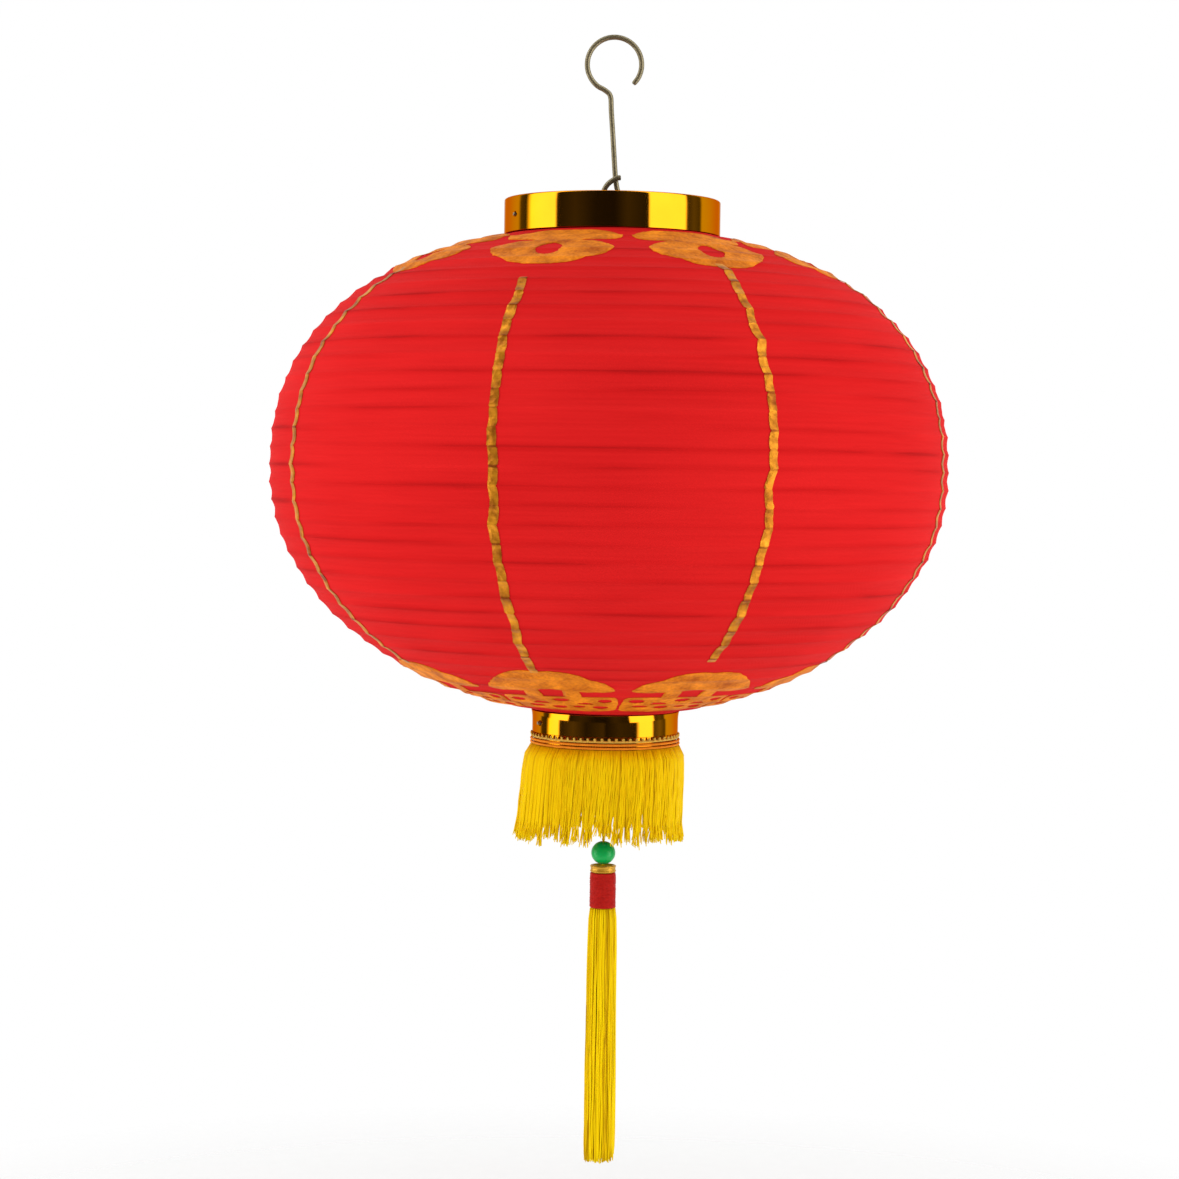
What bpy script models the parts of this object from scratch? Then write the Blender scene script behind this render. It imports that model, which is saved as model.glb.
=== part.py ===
"""Folding cloth lantern: hanging hook, two caps, cloth on wire hoops, fringe and tassel.

Metres, +Z up. The origin is the top of the inside of the hook's ring, where it hangs.
The caps' cross wires lie along X, and the cloth folds up along Z.
"""

import math

import bmesh
import bpy
from mathutils import Matrix, Vector

MM = 0.001
GAP = 0.3 * MM  # left between two pieces that touch
WIRE_FIT = 0.4 * MM  # radial play of a cross wire in its cap holes

# Hook: one bent wire, a ring above, a closed eye below
HOOK_WIRE = 2.3 * MM
HOOK_TURN = math.radians(-27.5)  # its flat side is turned about Z
RING_RADIUS = 12.0 * MM  # to the middle of the wire
RING_TIP_ANGLE = math.radians(-45)
RING_END_ANGLE = math.radians(250)
RING_POINTS = 18
HANG_LENGTH = 79.2 * MM  # origin to the upper cross wire
SHANK_TOP_OFFSET = -1.6 * MM
SHANK_END_OFFSET = 1.2 * MM
SHANK_BEND = 2.6 * MM  # the shank is straight from this far below the ring
EYE_LENGTH = 20.9 * MM
EYE_RADIUS = 6.0 * MM
EYE_START_ANGLE = math.radians(10)
EYE_TURN = math.radians(200)
EYE_POINTS = 13
BEND_PIECES = 3
# Points of the bends above the eye, as shares of its radius: out from the shank, and up
EYE_ENTRY = (0.45, 1.3)
EYE_EXIT = (-0.82, 1.25)
CROSSING_OUT = -0.42
# The closing end of the wire, as shares of the wire's thickness
CROSSING_FORWARD = 0.7
CROSSING_DROP = 1.2
TAIL_RISE = 0.2

# Cross wires: straight, with a collar inside each cap wall
CROSS_WIRE = 1.6 * MM
CROSS_WIRE_PROUD = 0.6 * MM
COLLAR_STEP = 0.3 * MM  # a collar is this much wider than its hole
COLLAR_LENGTH = 1.0 * MM
CROSS_WIRE_SIDES = 8
HOLE_SIDES = 12

# Upper cap: an open gold hoop
TOP_CAP_RADIUS = 47.8 * MM
TOP_CAP_HEIGHT = 15.6 * MM
CAP_WALL = 1.2 * MM
CAP_EDGE = 0.4 * MM
TOP_WIRE_HEIGHT = 7.3 * MM  # above the cap's lower edge
END_RING_WIDTH = 1.8 * MM
END_RING_HEIGHT = 3.2 * MM

# Cloth body
BODY_RADIUS = 150.0 * MM
UPPER_HEIGHT = 104.1 * MM
LOWER_HEIGHT = 105.0 * MM
UPPER_FULLNESS = 2.3
LOWER_FULLNESS = 2.02
CLOTH_WALL = 0.6 * MM
CLOTH_ROWS = 18
BODY_SIDES = 32

# Hoops
HOOP_COUNT = 36
HOOP_WIRE = 1.0 * MM
HOOP_SECTION_SIDES = 4

# Lower cap and the trim round it
BOTTOM_CAP_RADIUS = 33.0 * MM
BOTTOM_CAP_HEIGHT = 9.8 * MM
BOTTOM_WIRE_DROP = 5.2 * MM  # below the cap's upper edge
SLEEVE_WALL = 1.2 * MM
BRAID_HEIGHT = 2.0 * MM
BRAID_THICKNESS = 1.2 * MM
GIMP_CORD = 1.2 * MM
GIMP_SIDES = 6
FRINGE_LENGTH = 42.9 * MM
FRINGE_THICKNESS = 1.2 * MM
FRINGE_SPREAD = 3.2 * MM
FRINGE_BEND = 0.4  # share of its length above the bend in its outline
FRINGE_BEND_SPREAD = 0.65  # share of its spread reached there
CAP_SIDES = 48

# Tassel
TASSEL_CORD = 1.5 * MM
LOOP_LENGTH = 11.0 * MM
LOOP_POINTS = 9
KNOT_HEIGHT = 4.4 * MM
KNOT_FLAT_SHARE = 0.8  # of the knot's radius, where the loop's legs come in
KNOT_TIP_SHARE = 0.6
KNOT_BELLY_SHARE = 0.25  # of the knot's height
CORD_PIECE = 2.5  # length of one straight piece, in cord thicknesses
BAND_LAP = 0.3 * MM  # the band stands this much above the neck
CORD_LENGTH = 48.9 * MM
BEAD_RADIUS = 5.4 * MM
BEAD_HEIGHT = 10.4 * MM
BEAD_PLAY = 0.35 * MM
BEAD_STEPS = 8
NECK_RADIUS = 4.3 * MM
BAND_WALL = 1.2 * MM
BAND_HEIGHT = 3.0 * MM
WRAP_WALL = 1.3 * MM
WRAP_HEIGHT = 15.7 * MM
SKIRT_TOP_RADIUS = 6.0 * MM
SKIRT_END_RADIUS = 6.8 * MM
SKIRT_LENGTH = 114.3 * MM
SKIRT_STRAIGHT_SHARE = 1 / 3  # of its length, at its end
TASSEL_SIDES = 16

# Heights that follow from the sizes above
TOP_WIRE_Z = -HANG_LENGTH
TOP_CAP_LOW_Z = TOP_WIRE_Z - TOP_WIRE_HEIGHT
TOP_CAP_HIGH_Z = TOP_CAP_LOW_Z + TOP_CAP_HEIGHT
CLOTH_TOP_Z = TOP_CAP_LOW_Z - GAP
EQUATOR_Z = CLOTH_TOP_Z - UPPER_HEIGHT
CLOTH_LOW_Z = EQUATOR_Z - LOWER_HEIGHT
BOTTOM_CAP_HIGH_Z = CLOTH_LOW_Z - GAP
BOTTOM_WIRE_Z = BOTTOM_CAP_HIGH_Z - BOTTOM_WIRE_DROP
SHOULDER_Z = BOTTOM_CAP_HIGH_Z - BOTTOM_CAP_HEIGHT
BRAID_LOW_Z = SHOULDER_Z - GAP - BRAID_HEIGHT
UPPER_GIMP_Z = BRAID_LOW_Z - GAP - GIMP_CORD / 2
LOWER_GIMP_Z = UPPER_GIMP_Z - GAP - GIMP_CORD
FRINGE_TOP_Z = LOWER_GIMP_Z - GIMP_CORD / 2 - GAP
SLEEVE_RADIUS = BOTTOM_CAP_RADIUS - BRAID_THICKNESS
TRIM_RADIUS = SLEEVE_RADIUS + GAP  # inside of all that is wound on the sleeve
CORD_RADIUS = TASSEL_CORD / 2
HOLE_RADIUS = CROSS_WIRE / 2 + WIRE_FIT
COLLAR_RADIUS = HOLE_RADIUS + COLLAR_STEP
KNOT_RADIUS = (TASSEL_CORD + GAP) / KNOT_FLAT_SHARE
BEAD_HOLE_RADIUS = CORD_RADIUS + BEAD_PLAY
HEAD_INSIDE = NECK_RADIUS + GAP  # inside of the band and the wrap
BAND_RADIUS = HEAD_INSIDE + BAND_WALL
WRAP_RADIUS = HEAD_INSIDE + WRAP_WALL


def clear_scene():
    for obj in list(bpy.data.objects):
        bpy.data.objects.remove(obj, do_unlink=True)


def make_material(name, color, roughness, metallic=0.0):
    """A Principled material; color is linear red, green, blue."""
    material = bpy.data.materials.new(name)
    material.use_nodes = True
    shader = material.node_tree.nodes["Principled BSDF"]
    shader.inputs["Base Color"].default_value = (*color, 1.0)
    shader.inputs["Roughness"].default_value = roughness
    shader.inputs["Metallic"].default_value = metallic
    return material


def add_object(name, data, material):
    obj = bpy.data.objects.new(name, data)
    data.materials.append(material)
    bpy.context.scene.collection.objects.link(obj)
    return obj


def revolve(name, profile, material, sides, closed=True):
    """Turns (radius, height) points about Z. An open profile starts and ends on the axis."""
    bm = bmesh.new()
    verts = [bm.verts.new((radius, 0.0, height)) for radius, height in profile]
    pairs = list(zip(verts, verts[1:]))
    if closed:
        pairs.append((verts[-1], verts[0]))
    edges = [bm.edges.new(pair) for pair in pairs]
    bmesh.ops.spin(
        bm,
        geom=verts + edges,
        cent=(0, 0, 0),
        axis=(0, 0, 1),
        angle=math.tau,
        steps=sides,
        use_merge=True,
    )
    bmesh.ops.remove_doubles(bm, verts=bm.verts, dist=1e-6)
    bmesh.ops.recalc_face_normals(bm, faces=bm.faces)
    mesh = bpy.data.meshes.new(name)
    bm.to_mesh(mesh)
    bm.free()
    mesh.shade_smooth()
    return add_object(name, mesh, material)


def round_section(radius, height, thickness, sides):
    """Corners of a round bar's section, grown so that the flats keep its true area."""
    grown = thickness / 2 * math.sqrt(math.tau / (sides * math.sin(math.tau / sides)))
    angles = [(corner + 0.5) * math.tau / sides for corner in range(sides)]
    return [(radius + grown * math.cos(a), height + grown * math.sin(a)) for a in angles]


def tube(name, points, thickness, material):
    """A round wire or cord through the points, with flat ends."""
    curve = bpy.data.curves.new(name, "CURVE")
    curve.dimensions = "3D"
    curve.bevel_depth = thickness / 2
    curve.bevel_resolution = 2
    curve.use_fill_caps = True
    spline = curve.splines.new("POLY")
    spline.points.add(len(points) - 1)
    for spot, point in zip(spline.points, points):
        spot.co = (*point, 1.0)
    return add_object(name, curve, material)


def smooth_points(points, pieces):
    """A smooth curve through the points, cut into pieces between each two."""
    ends = [2 * points[0] - points[1]] + points + [2 * points[-1] - points[-2]]
    found = []
    for before, first, second, after in zip(ends, ends[1:], ends[2:], ends[3:]):
        for step in range(pieces):
            t = step / pieces
            found.append(
                0.5
                * (
                    2 * first
                    + (second - before) * t
                    + (2 * before - 5 * first + 4 * second - after) * t**2
                    + (3 * first - before - 3 * second + after) * t**3
                )
            )
    return found + [points[-1]]


def cloth_radius(height):
    """Outside radius of the cloth at this height."""
    above = height > EQUATOR_Z
    reach = UPPER_HEIGHT if above else LOWER_HEIGHT
    end_radius = TOP_CAP_RADIUS if above else BOTTOM_CAP_RADIUS
    power = UPPER_FULLNESS if above else LOWER_FULLNESS
    drop = (1 - (end_radius / BODY_RADIUS) ** power) * (abs(height - EQUATOR_Z) / reach) ** power
    return BODY_RADIUS * (1 - drop) ** (1 / power)


def pole_angle(end_radius, power):
    """How far round the outline, as seen from the middle, the cloth goes before it ends."""
    return math.asin((1 - (end_radius / BODY_RADIUS) ** power) ** (1 / power))


def cloth_height(share):
    """Height of the point this share of the way down the cloth, in equal angle steps."""
    upper = pole_angle(TOP_CAP_RADIUS, UPPER_FULLNESS)
    lower = pole_angle(BOTTOM_CAP_RADIUS, LOWER_FULLNESS)
    angle = upper - share * (upper + lower)
    if angle > 0:
        return EQUATOR_Z + UPPER_HEIGHT * math.sin(angle) / math.sin(upper)
    return EQUATOR_Z + LOWER_HEIGHT * math.sin(angle) / math.sin(lower)


def inner_outline():
    """Inside corners of the cloth from top to bottom, one wall's thickness in along the normal."""
    heights = [cloth_height(row / CLOTH_ROWS) for row in range(CLOTH_ROWS + 1)]
    outer = [(cloth_radius(z), z) for z in heights]
    inner = []
    for row, (radius, z) in enumerate(outer):
        above = outer[max(row - 1, 0)]
        below = outer[min(row + 1, CLOTH_ROWS)]
        slope = (above[0] - below[0]) / (above[1] - below[1])
        inner.append((radius - CLOTH_WALL * math.hypot(1, slope), z))
    return outer, inner


def eye_wire_drop():
    """How far below the eye's centre the slanting cross wire can lie and stay clear of the eye."""
    apart = (HOOK_WIRE + CROSS_WIRE) / 2 + GAP
    slant = abs(math.tan(HOOK_TURN))
    return math.sqrt((EYE_RADIUS * math.cos(HOOK_TURN)) ** 2 - (apart / slant) ** 2)


def make_hook(material):
    ring = []
    for step in range(RING_POINTS + 1):
        angle = RING_TIP_ANGLE + (RING_END_ANGLE - RING_TIP_ANGLE) * step / RING_POINTS
        middle = -(RING_RADIUS - HOOK_WIRE / 2)
        ring.append(Vector((RING_RADIUS * math.cos(angle), 0, middle + RING_RADIUS * math.sin(angle))))
    shank_high = ring[-1].z - SHANK_BEND
    eye_centre = TOP_WIRE_Z + eye_wire_drop()
    eye_low = eye_centre - EYE_RADIUS
    eye = []
    for step in range(EYE_POINTS + 1):
        angle = EYE_START_ANGLE - EYE_TURN * step / EYE_POINTS
        eye.append(Vector((EYE_RADIUS * math.cos(angle), 0, eye_centre + EYE_RADIUS * math.sin(angle))))
    eye_high = eye_low + EYE_LENGTH
    shank = [
        Vector((SHANK_TOP_OFFSET, 0, shank_high)),
        Vector(((SHANK_TOP_OFFSET + SHANK_END_OFFSET) / 2, 0, (eye_high + shank_high) / 2)),
        Vector((SHANK_END_OFFSET, 0, eye_high)),
        Vector((EYE_RADIUS * EYE_ENTRY[0], 0, eye_centre + EYE_RADIUS * EYE_ENTRY[1])),
    ]
    front = -(HOOK_WIRE + GAP)
    crossing_high = eye_high - HOOK_WIRE * CROSSING_DROP
    tail_high = eye_high + HOOK_WIRE * TAIL_RISE
    closing = [
        Vector((EYE_RADIUS * EYE_EXIT[0], 0, eye_centre + EYE_RADIUS * EYE_EXIT[1])),
        Vector((EYE_RADIUS * CROSSING_OUT, -HOOK_WIRE * CROSSING_FORWARD, crossing_high)),
        Vector((SHANK_END_OFFSET, front, eye_high)),
        Vector((SHANK_END_OFFSET + HOOK_WIRE, front, tail_high)),
    ]
    route = ring + smooth_points(shank, BEND_PIECES) + eye + smooth_points(closing, BEND_PIECES)
    hook = tube("hanging_hook", route, HOOK_WIRE, material)
    hook.rotation_euler.z = HOOK_TURN
    return hook


def make_cross_wire(name, cap_radius, height, material):
    """A wire along X that comes just through both cap walls."""
    reach = cap_radius + CROSS_WIRE_PROUD
    wall_inside = cap_radius - CAP_WALL - GAP
    half = [(CROSS_WIRE / 2, wall_inside), (COLLAR_RADIUS, wall_inside)]
    half += [(COLLAR_RADIUS, wall_inside - COLLAR_LENGTH), (CROSS_WIRE / 2, wall_inside - COLLAR_LENGTH)]
    side = [(0, reach), (CROSS_WIRE / 2, reach)] + half
    profile = side + [(radius, -along) for radius, along in reversed(side)]
    wire = revolve(name, profile, material, CROSS_WIRE_SIDES, closed=False)
    wire.data.transform(Matrix.Rotation(math.pi / 2, 4, "Y"))
    wire.location.z = height
    return wire


def drill_wire_holes(cap, height):
    """Cuts the two holes of a cross wire through a cap."""
    reach = TOP_CAP_RADIUS + BOTTOM_CAP_RADIUS
    profile = [(0, reach), (HOLE_RADIUS, reach), (HOLE_RADIUS, -reach), (0, -reach)]
    cutter = revolve(cap.name + "_drill", profile, cap.data.materials[0], HOLE_SIDES, closed=False)
    cutter.data.transform(Matrix.Rotation(math.pi / 2, 4, "Y"))
    cutter.location.z = height
    cutter.hide_render = True
    cutter.display_type = "WIRE"
    cut = cap.modifiers.new("wire_holes", "BOOLEAN")
    cut.operation = "DIFFERENCE"
    cut.solver = "EXACT"
    cut.object = cutter


def make_top_cap(material):
    inside = TOP_CAP_RADIUS - CAP_WALL
    profile = [
        (TOP_CAP_RADIUS - CAP_EDGE, TOP_CAP_HIGH_Z),
        (TOP_CAP_RADIUS, TOP_CAP_HIGH_Z - CAP_EDGE),
        (TOP_CAP_RADIUS, TOP_CAP_LOW_Z),
        (inside, TOP_CAP_LOW_Z),
        (inside, TOP_CAP_HIGH_Z),
    ]
    cap = revolve("top_cap", profile, material, CAP_SIDES)
    drill_wire_holes(cap, TOP_WIRE_Z)
    return cap


def make_bottom_cap(material):
    """The lower cap, stepped in below so that the trim is wound flush with it."""
    inside = SLEEVE_RADIUS - SLEEVE_WALL
    profile = [
        (BOTTOM_CAP_RADIUS - CAP_EDGE, BOTTOM_CAP_HIGH_Z),
        (BOTTOM_CAP_RADIUS, BOTTOM_CAP_HIGH_Z - CAP_EDGE),
        (BOTTOM_CAP_RADIUS, SHOULDER_Z),
        (SLEEVE_RADIUS, SHOULDER_Z),
        (SLEEVE_RADIUS, FRINGE_TOP_Z),
        (inside, FRINGE_TOP_Z),
        (inside, SHOULDER_Z),
        (BOTTOM_CAP_RADIUS - CAP_WALL, SHOULDER_Z + CAP_WALL),
        (BOTTOM_CAP_RADIUS - CAP_WALL, BOTTOM_CAP_HIGH_Z),
    ]
    cap = revolve("bottom_cap", profile, material, CAP_SIDES)
    drill_wire_holes(cap, BOTTOM_WIRE_Z)
    return cap


def make_end_ring(name, cap_radius, low, material):
    """A stiff ring inside a cap, which the cloth's edge is glued to."""
    outside = cap_radius - CAP_WALL - GAP
    inside = outside - END_RING_WIDTH
    high = low + END_RING_HEIGHT
    profile = [(outside, high), (outside, low), (inside, low), (inside, high)]
    return revolve(name, profile, material, BODY_SIDES)


def make_cloth(material):
    outer, inner = inner_outline()
    return revolve("lantern_skin", outer + inner[::-1], material, BODY_SIDES)


def make_hoops(material):
    """Wire hoops that lie against the inside of the cloth."""
    inner = inner_outline()[1]
    half_side = HOOP_WIRE / 2 * math.sqrt(math.pi) / 2
    for number in range(1, HOOP_COUNT + 1):
        height = cloth_height(number / (HOOP_COUNT + 1))
        row = max(i for i in range(CLOTH_ROWS) if inner[i][1] >= height)
        (high_radius, high), (low_radius, low) = inner[row], inner[row + 1]
        slope = (high_radius - low_radius) / (high - low)
        wall = low_radius + slope * (height - low)
        reach = half_side * (1 + abs(slope)) + GAP * math.hypot(1, slope)
        section = round_section(wall - reach, height, HOOP_WIRE, HOOP_SECTION_SIDES)
        revolve(f"hoop_{number:02d}", section, material, BODY_SIDES)


def make_trim(braid_material, gimp_material, fringe_material):
    """Looped braid, two gimp cords and the fringe, one under the other on the lower cap."""
    outside = TRIM_RADIUS + BRAID_THICKNESS
    high = SHOULDER_Z - GAP
    braid = [(outside, high), (outside, BRAID_LOW_Z), (TRIM_RADIUS, BRAID_LOW_Z), (TRIM_RADIUS, high)]
    revolve("fringe_header", braid, braid_material, CAP_SIDES)
    for name, height in (("gimp_cord_upper", UPPER_GIMP_Z), ("gimp_cord_lower", LOWER_GIMP_Z)):
        section = round_section(TRIM_RADIUS + GIMP_CORD / 2, height, GIMP_CORD, GIMP_SIDES)
        revolve(name, section, gimp_material, BODY_SIDES)
    middle = FRINGE_TOP_Z - FRINGE_LENGTH * FRINGE_BEND
    low = FRINGE_TOP_Z - FRINGE_LENGTH
    inside = [
        (TRIM_RADIUS, FRINGE_TOP_Z),
        (TRIM_RADIUS + FRINGE_SPREAD * FRINGE_BEND_SPREAD, middle),
        (TRIM_RADIUS + FRINGE_SPREAD, low),
    ]
    outside = [(radius + FRINGE_THICKNESS, z) for radius, z in inside]
    revolve("fringe_skirt", outside + inside[::-1], fringe_material, BODY_SIDES)


def make_tassel(materials):
    """Everything that hangs on the lower cross wire, from the loop down."""
    turn_radius = CROSS_WIRE / 2 + GAP + CORD_RADIUS
    loop_low = BOTTOM_WIRE_Z - LOOP_LENGTH
    leg = CORD_RADIUS + GAP
    left = Vector((0, -leg, loop_low))
    right = Vector((0, leg, loop_low))
    arc = []
    for step in range(LOOP_POINTS + 1):
        angle = math.pi * (1 - step / LOOP_POINTS)
        arc.append(Vector((0, turn_radius * math.cos(angle), BOTTOM_WIRE_Z + turn_radius * math.sin(angle))))
    tube("tassel_loop", [left] + arc + [right], TASSEL_CORD, materials["cord"])

    knot_high = loop_low - GAP
    knot_low = knot_high - KNOT_HEIGHT
    belly = KNOT_HEIGHT * KNOT_BELLY_SHARE
    knot = [
        (0, knot_high),
        (KNOT_RADIUS * KNOT_FLAT_SHARE, knot_high),
        (KNOT_RADIUS, knot_high - belly),
        (KNOT_RADIUS, knot_low + belly),
        (KNOT_RADIUS * KNOT_TIP_SHARE, knot_low),
        (0, knot_low),
    ]
    revolve("tassel_knot", knot, materials["cord"], TASSEL_SIDES, closed=False)

    cord_high = knot_low - GAP
    cord_low = cord_high - CORD_LENGTH
    pieces = round(CORD_LENGTH / (TASSEL_CORD * CORD_PIECE))
    line = [Vector((0, 0, cord_high - CORD_LENGTH * step / pieces)) for step in range(pieces + 1)]
    tube("tassel_cord", line, TASSEL_CORD, materials["cord"])

    neck_high = cord_low - GAP
    band_high = neck_high + GAP + BAND_LAP
    bead_middle = band_high + GAP + BEAD_HEIGHT / 2
    hole_angle = math.asin(BEAD_HOLE_RADIUS / BEAD_RADIUS)
    bead = []
    for step in range(BEAD_STEPS + 1):
        angle = hole_angle + (math.pi - 2 * hole_angle) * step / BEAD_STEPS
        bead.append((BEAD_RADIUS * math.sin(angle), BEAD_HEIGHT / 2 * math.cos(angle)))
    bead_object = revolve("tassel_bead", bead, materials["bead"], TASSEL_SIDES)
    bead_object.location.z = bead_middle

    band_low = band_high - BAND_HEIGHT
    band = [(BAND_RADIUS, band_high), (BAND_RADIUS, band_low), (HEAD_INSIDE, band_low), (HEAD_INSIDE, band_high)]
    revolve("tassel_gold_band", band, materials["band"], TASSEL_SIDES)

    wrap_high = band_low - GAP
    wrap_low = wrap_high - WRAP_HEIGHT
    wrap = [(WRAP_RADIUS, wrap_high), (WRAP_RADIUS, wrap_low), (HEAD_INSIDE, wrap_low), (HEAD_INSIDE, wrap_high)]
    revolve("tassel_wrap", wrap, materials["wrap"], TASSEL_SIDES)

    skirt_high = wrap_low - GAP
    skirt_low = skirt_high - SKIRT_LENGTH
    skirt = [
        (0, neck_high),
        (NECK_RADIUS, neck_high),
        (NECK_RADIUS, skirt_high),
        (SKIRT_TOP_RADIUS, skirt_high),
        (SKIRT_END_RADIUS, skirt_low + SKIRT_LENGTH * SKIRT_STRAIGHT_SHARE),
        (SKIRT_END_RADIUS, skirt_low),
        (0, skirt_low),
    ]
    revolve("tassel_skirt", skirt, materials["threads"], TASSEL_SIDES, closed=False)


clear_scene()

steel = make_material("bent steel wire", (0.18, 0.16, 0.11), 0.35, 1.0)
gold = make_material("gold mirror foil on card", (0.85, 0.45, 0.06), 0.12, 1.0)
card = make_material("red card ring", (0.45, 0.02, 0.02), 0.7)
cloth = make_material("red nylon cloth", (0.72, 0.015, 0.012), 0.6)
hoop_steel = make_material("thin steel wire", (0.35, 0.34, 0.32), 0.35, 1.0)
braid_yarn = make_material("pale gold braid", (0.55, 0.32, 0.04), 0.6)
gimp_yarn = make_material("orange gold cord", (0.62, 0.24, 0.03), 0.5)
fringe_yarn = make_material("yellow rayon thread", (0.8, 0.5, 0.01), 0.5)
tassel_materials = {
    "cord": make_material("yellow twisted cord", (0.75, 0.45, 0.01), 0.6),
    "bead": make_material("green plastic bead", (0.01, 0.35, 0.07), 0.2),
    "band": make_material("gold foil band", (0.75, 0.4, 0.05), 0.25, 1.0),
    "wrap": make_material("red wound thread", (0.5, 0.02, 0.01), 0.6),
    "threads": make_material("yellow tassel thread", (0.8, 0.5, 0.01), 0.5),
}

make_hook(steel)
make_cross_wire("top_cross_wire", TOP_CAP_RADIUS, TOP_WIRE_Z, steel)
make_top_cap(gold)
make_end_ring("top_end_ring", TOP_CAP_RADIUS, TOP_CAP_LOW_Z, card)
make_cloth(cloth)
make_hoops(hoop_steel)
bottom_ring_low = BOTTOM_CAP_HIGH_Z - END_RING_HEIGHT
make_end_ring("bottom_end_ring", BOTTOM_CAP_RADIUS, bottom_ring_low, card)
make_bottom_cap(gold)
make_cross_wire("bottom_cross_wire", BOTTOM_CAP_RADIUS, BOTTOM_WIRE_Z, steel)
make_trim(braid_yarn, gimp_yarn, fringe_yarn)
make_tassel(tassel_materials)
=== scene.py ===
import math

import bpy
import numpy as np
from mathutils import Matrix, Vector
from mathutils.geometry import delaunay_2d_cdt


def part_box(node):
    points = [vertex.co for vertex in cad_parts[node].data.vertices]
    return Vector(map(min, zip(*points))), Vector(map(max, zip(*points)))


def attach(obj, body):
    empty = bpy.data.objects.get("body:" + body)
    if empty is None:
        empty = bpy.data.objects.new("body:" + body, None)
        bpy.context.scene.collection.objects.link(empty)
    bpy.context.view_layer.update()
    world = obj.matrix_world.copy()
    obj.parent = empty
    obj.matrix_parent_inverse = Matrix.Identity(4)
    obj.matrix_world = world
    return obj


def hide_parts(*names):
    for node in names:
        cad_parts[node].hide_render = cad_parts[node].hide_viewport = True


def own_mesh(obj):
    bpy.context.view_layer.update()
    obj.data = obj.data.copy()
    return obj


# Folding festival lantern: its looks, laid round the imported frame.
# Everything is in metres; mm below turns a size in millimetres into metres.
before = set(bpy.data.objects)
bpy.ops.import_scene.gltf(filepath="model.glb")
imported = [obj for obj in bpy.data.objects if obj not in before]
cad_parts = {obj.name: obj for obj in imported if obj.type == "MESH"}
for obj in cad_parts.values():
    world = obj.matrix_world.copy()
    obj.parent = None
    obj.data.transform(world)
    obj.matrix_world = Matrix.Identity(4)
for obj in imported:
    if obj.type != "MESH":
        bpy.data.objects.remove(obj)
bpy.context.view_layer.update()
mm = 0.001
tau = math.tau
print("frame is in")

# The camera comes first
view = {
    "azimuth": -27.5,  # degrees round from the front
    "eyeHeight": -191.7 * mm,
    "distance": 1200 * mm,
    "middleHeight": -242.9 * mm,  # what the middle of the frame looks at
    "aside": -7.8 * mm,  # the lantern hangs a little right of the middle
    "roll": 0.8,  # degrees about the line of sight
    "lens": 82.4,
}
facing = math.radians(view["azimuth"])
toCamera = Vector((math.sin(facing), -math.cos(facing), 0))
toRight = Vector((-toCamera.y, toCamera.x, 0))


def placeCamera():
    spot = toCamera * view["distance"] + toRight * view["aside"] + Vector((0, 0, view["eyeHeight"]))
    target = toRight * view["aside"] + Vector((0, 0, view["middleHeight"]))
    camera = bpy.data.objects.new("camera", bpy.data.cameras.new("camera"))
    camera.data.lens = view["lens"]
    camera.data.sensor_width = 36
    aim = (target - spot).to_track_quat("-Z", "Y").to_matrix().to_4x4()
    roll = Matrix.Rotation(math.radians(view["roll"]), 4, "Z")
    camera.matrix_world = Matrix.Translation(spot) @ aim @ roll
    bpy.context.scene.collection.objects.link(camera)
    bpy.context.scene.camera = camera


placeCamera()
bpy.context.scene.view_settings.view_transform = "Standard"
print("camera is placed")


def hexColor(code):
    parts = [int(code[i : i + 2], 16) / 255 for i in (1, 3, 5)]
    linear = [c / 12.92 if c <= 0.04045 else ((c + 0.055) / 1.055) ** 2.4 for c in parts]
    return (*linear, 1.0)


def addNode(tree, kind, inputs=None, **settings):
    # inputs holds numbers and colours, or another node's output to link
    node = tree.nodes.new("ShaderNode" + kind)
    for setting, value in settings.items():
        setattr(node, setting, value)
    for socket, value in (inputs or {}).items():
        if isinstance(value, bpy.types.NodeSocket):
            tree.links.new(value, node.inputs[socket])
        else:
            node.inputs[socket].default_value = value
    return node


def newMaterial(name, **sockets):
    # a Principled material; the keywords are its sockets' names with underscores
    material = bpy.data.materials.new(name)
    material.use_nodes = True
    shader = material.node_tree.nodes["Principled BSDF"]
    for socket, value in sockets.items():
        shader.inputs[socket.replace("_", " ")].default_value = value
    return material, material.node_tree, shader


def blendColors(tree, share, low, high, *between):
    # a ramp driven by share; between holds (place, colour) stops
    ramp = addNode(tree, "ValToRGB", {"Fac": share})
    ramp.color_ramp.elements[0].color = hexColor(low)
    ramp.color_ramp.elements[1].color = hexColor(high)
    for place, color in between:
        ramp.color_ramp.elements.new(place).color = hexColor(color)
    return ramp.outputs["Color"]


def addBump(tree, shader, height, depth):
    # depth is in metres from the lowest to the highest point
    bump = addNode(tree, "Bump", {"Height": height, "Strength": 1.0, "Distance": depth})
    tree.links.new(bump.outputs["Normal"], shader.inputs["Normal"])


def patchyMaterial(name, dark, light, pitch, detail, relief, swirl=0.0, **sockets):
    # two near colours in soft patches this far apart, with a relief that follows them
    material, tree, shader = newMaterial(name, **sockets)
    place = addNode(tree, "TexCoord").outputs["Object"]
    noise = {"Vector": place, "Scale": 1 / pitch, "Detail": detail, "Distortion": swirl}
    patches = addNode(tree, "TexNoise", noise).outputs[0]
    tree.links.new(blendColors(tree, patches, dark, light), shader.inputs["Base Color"])
    addBump(tree, shader, patches, relief)
    return material


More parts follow.
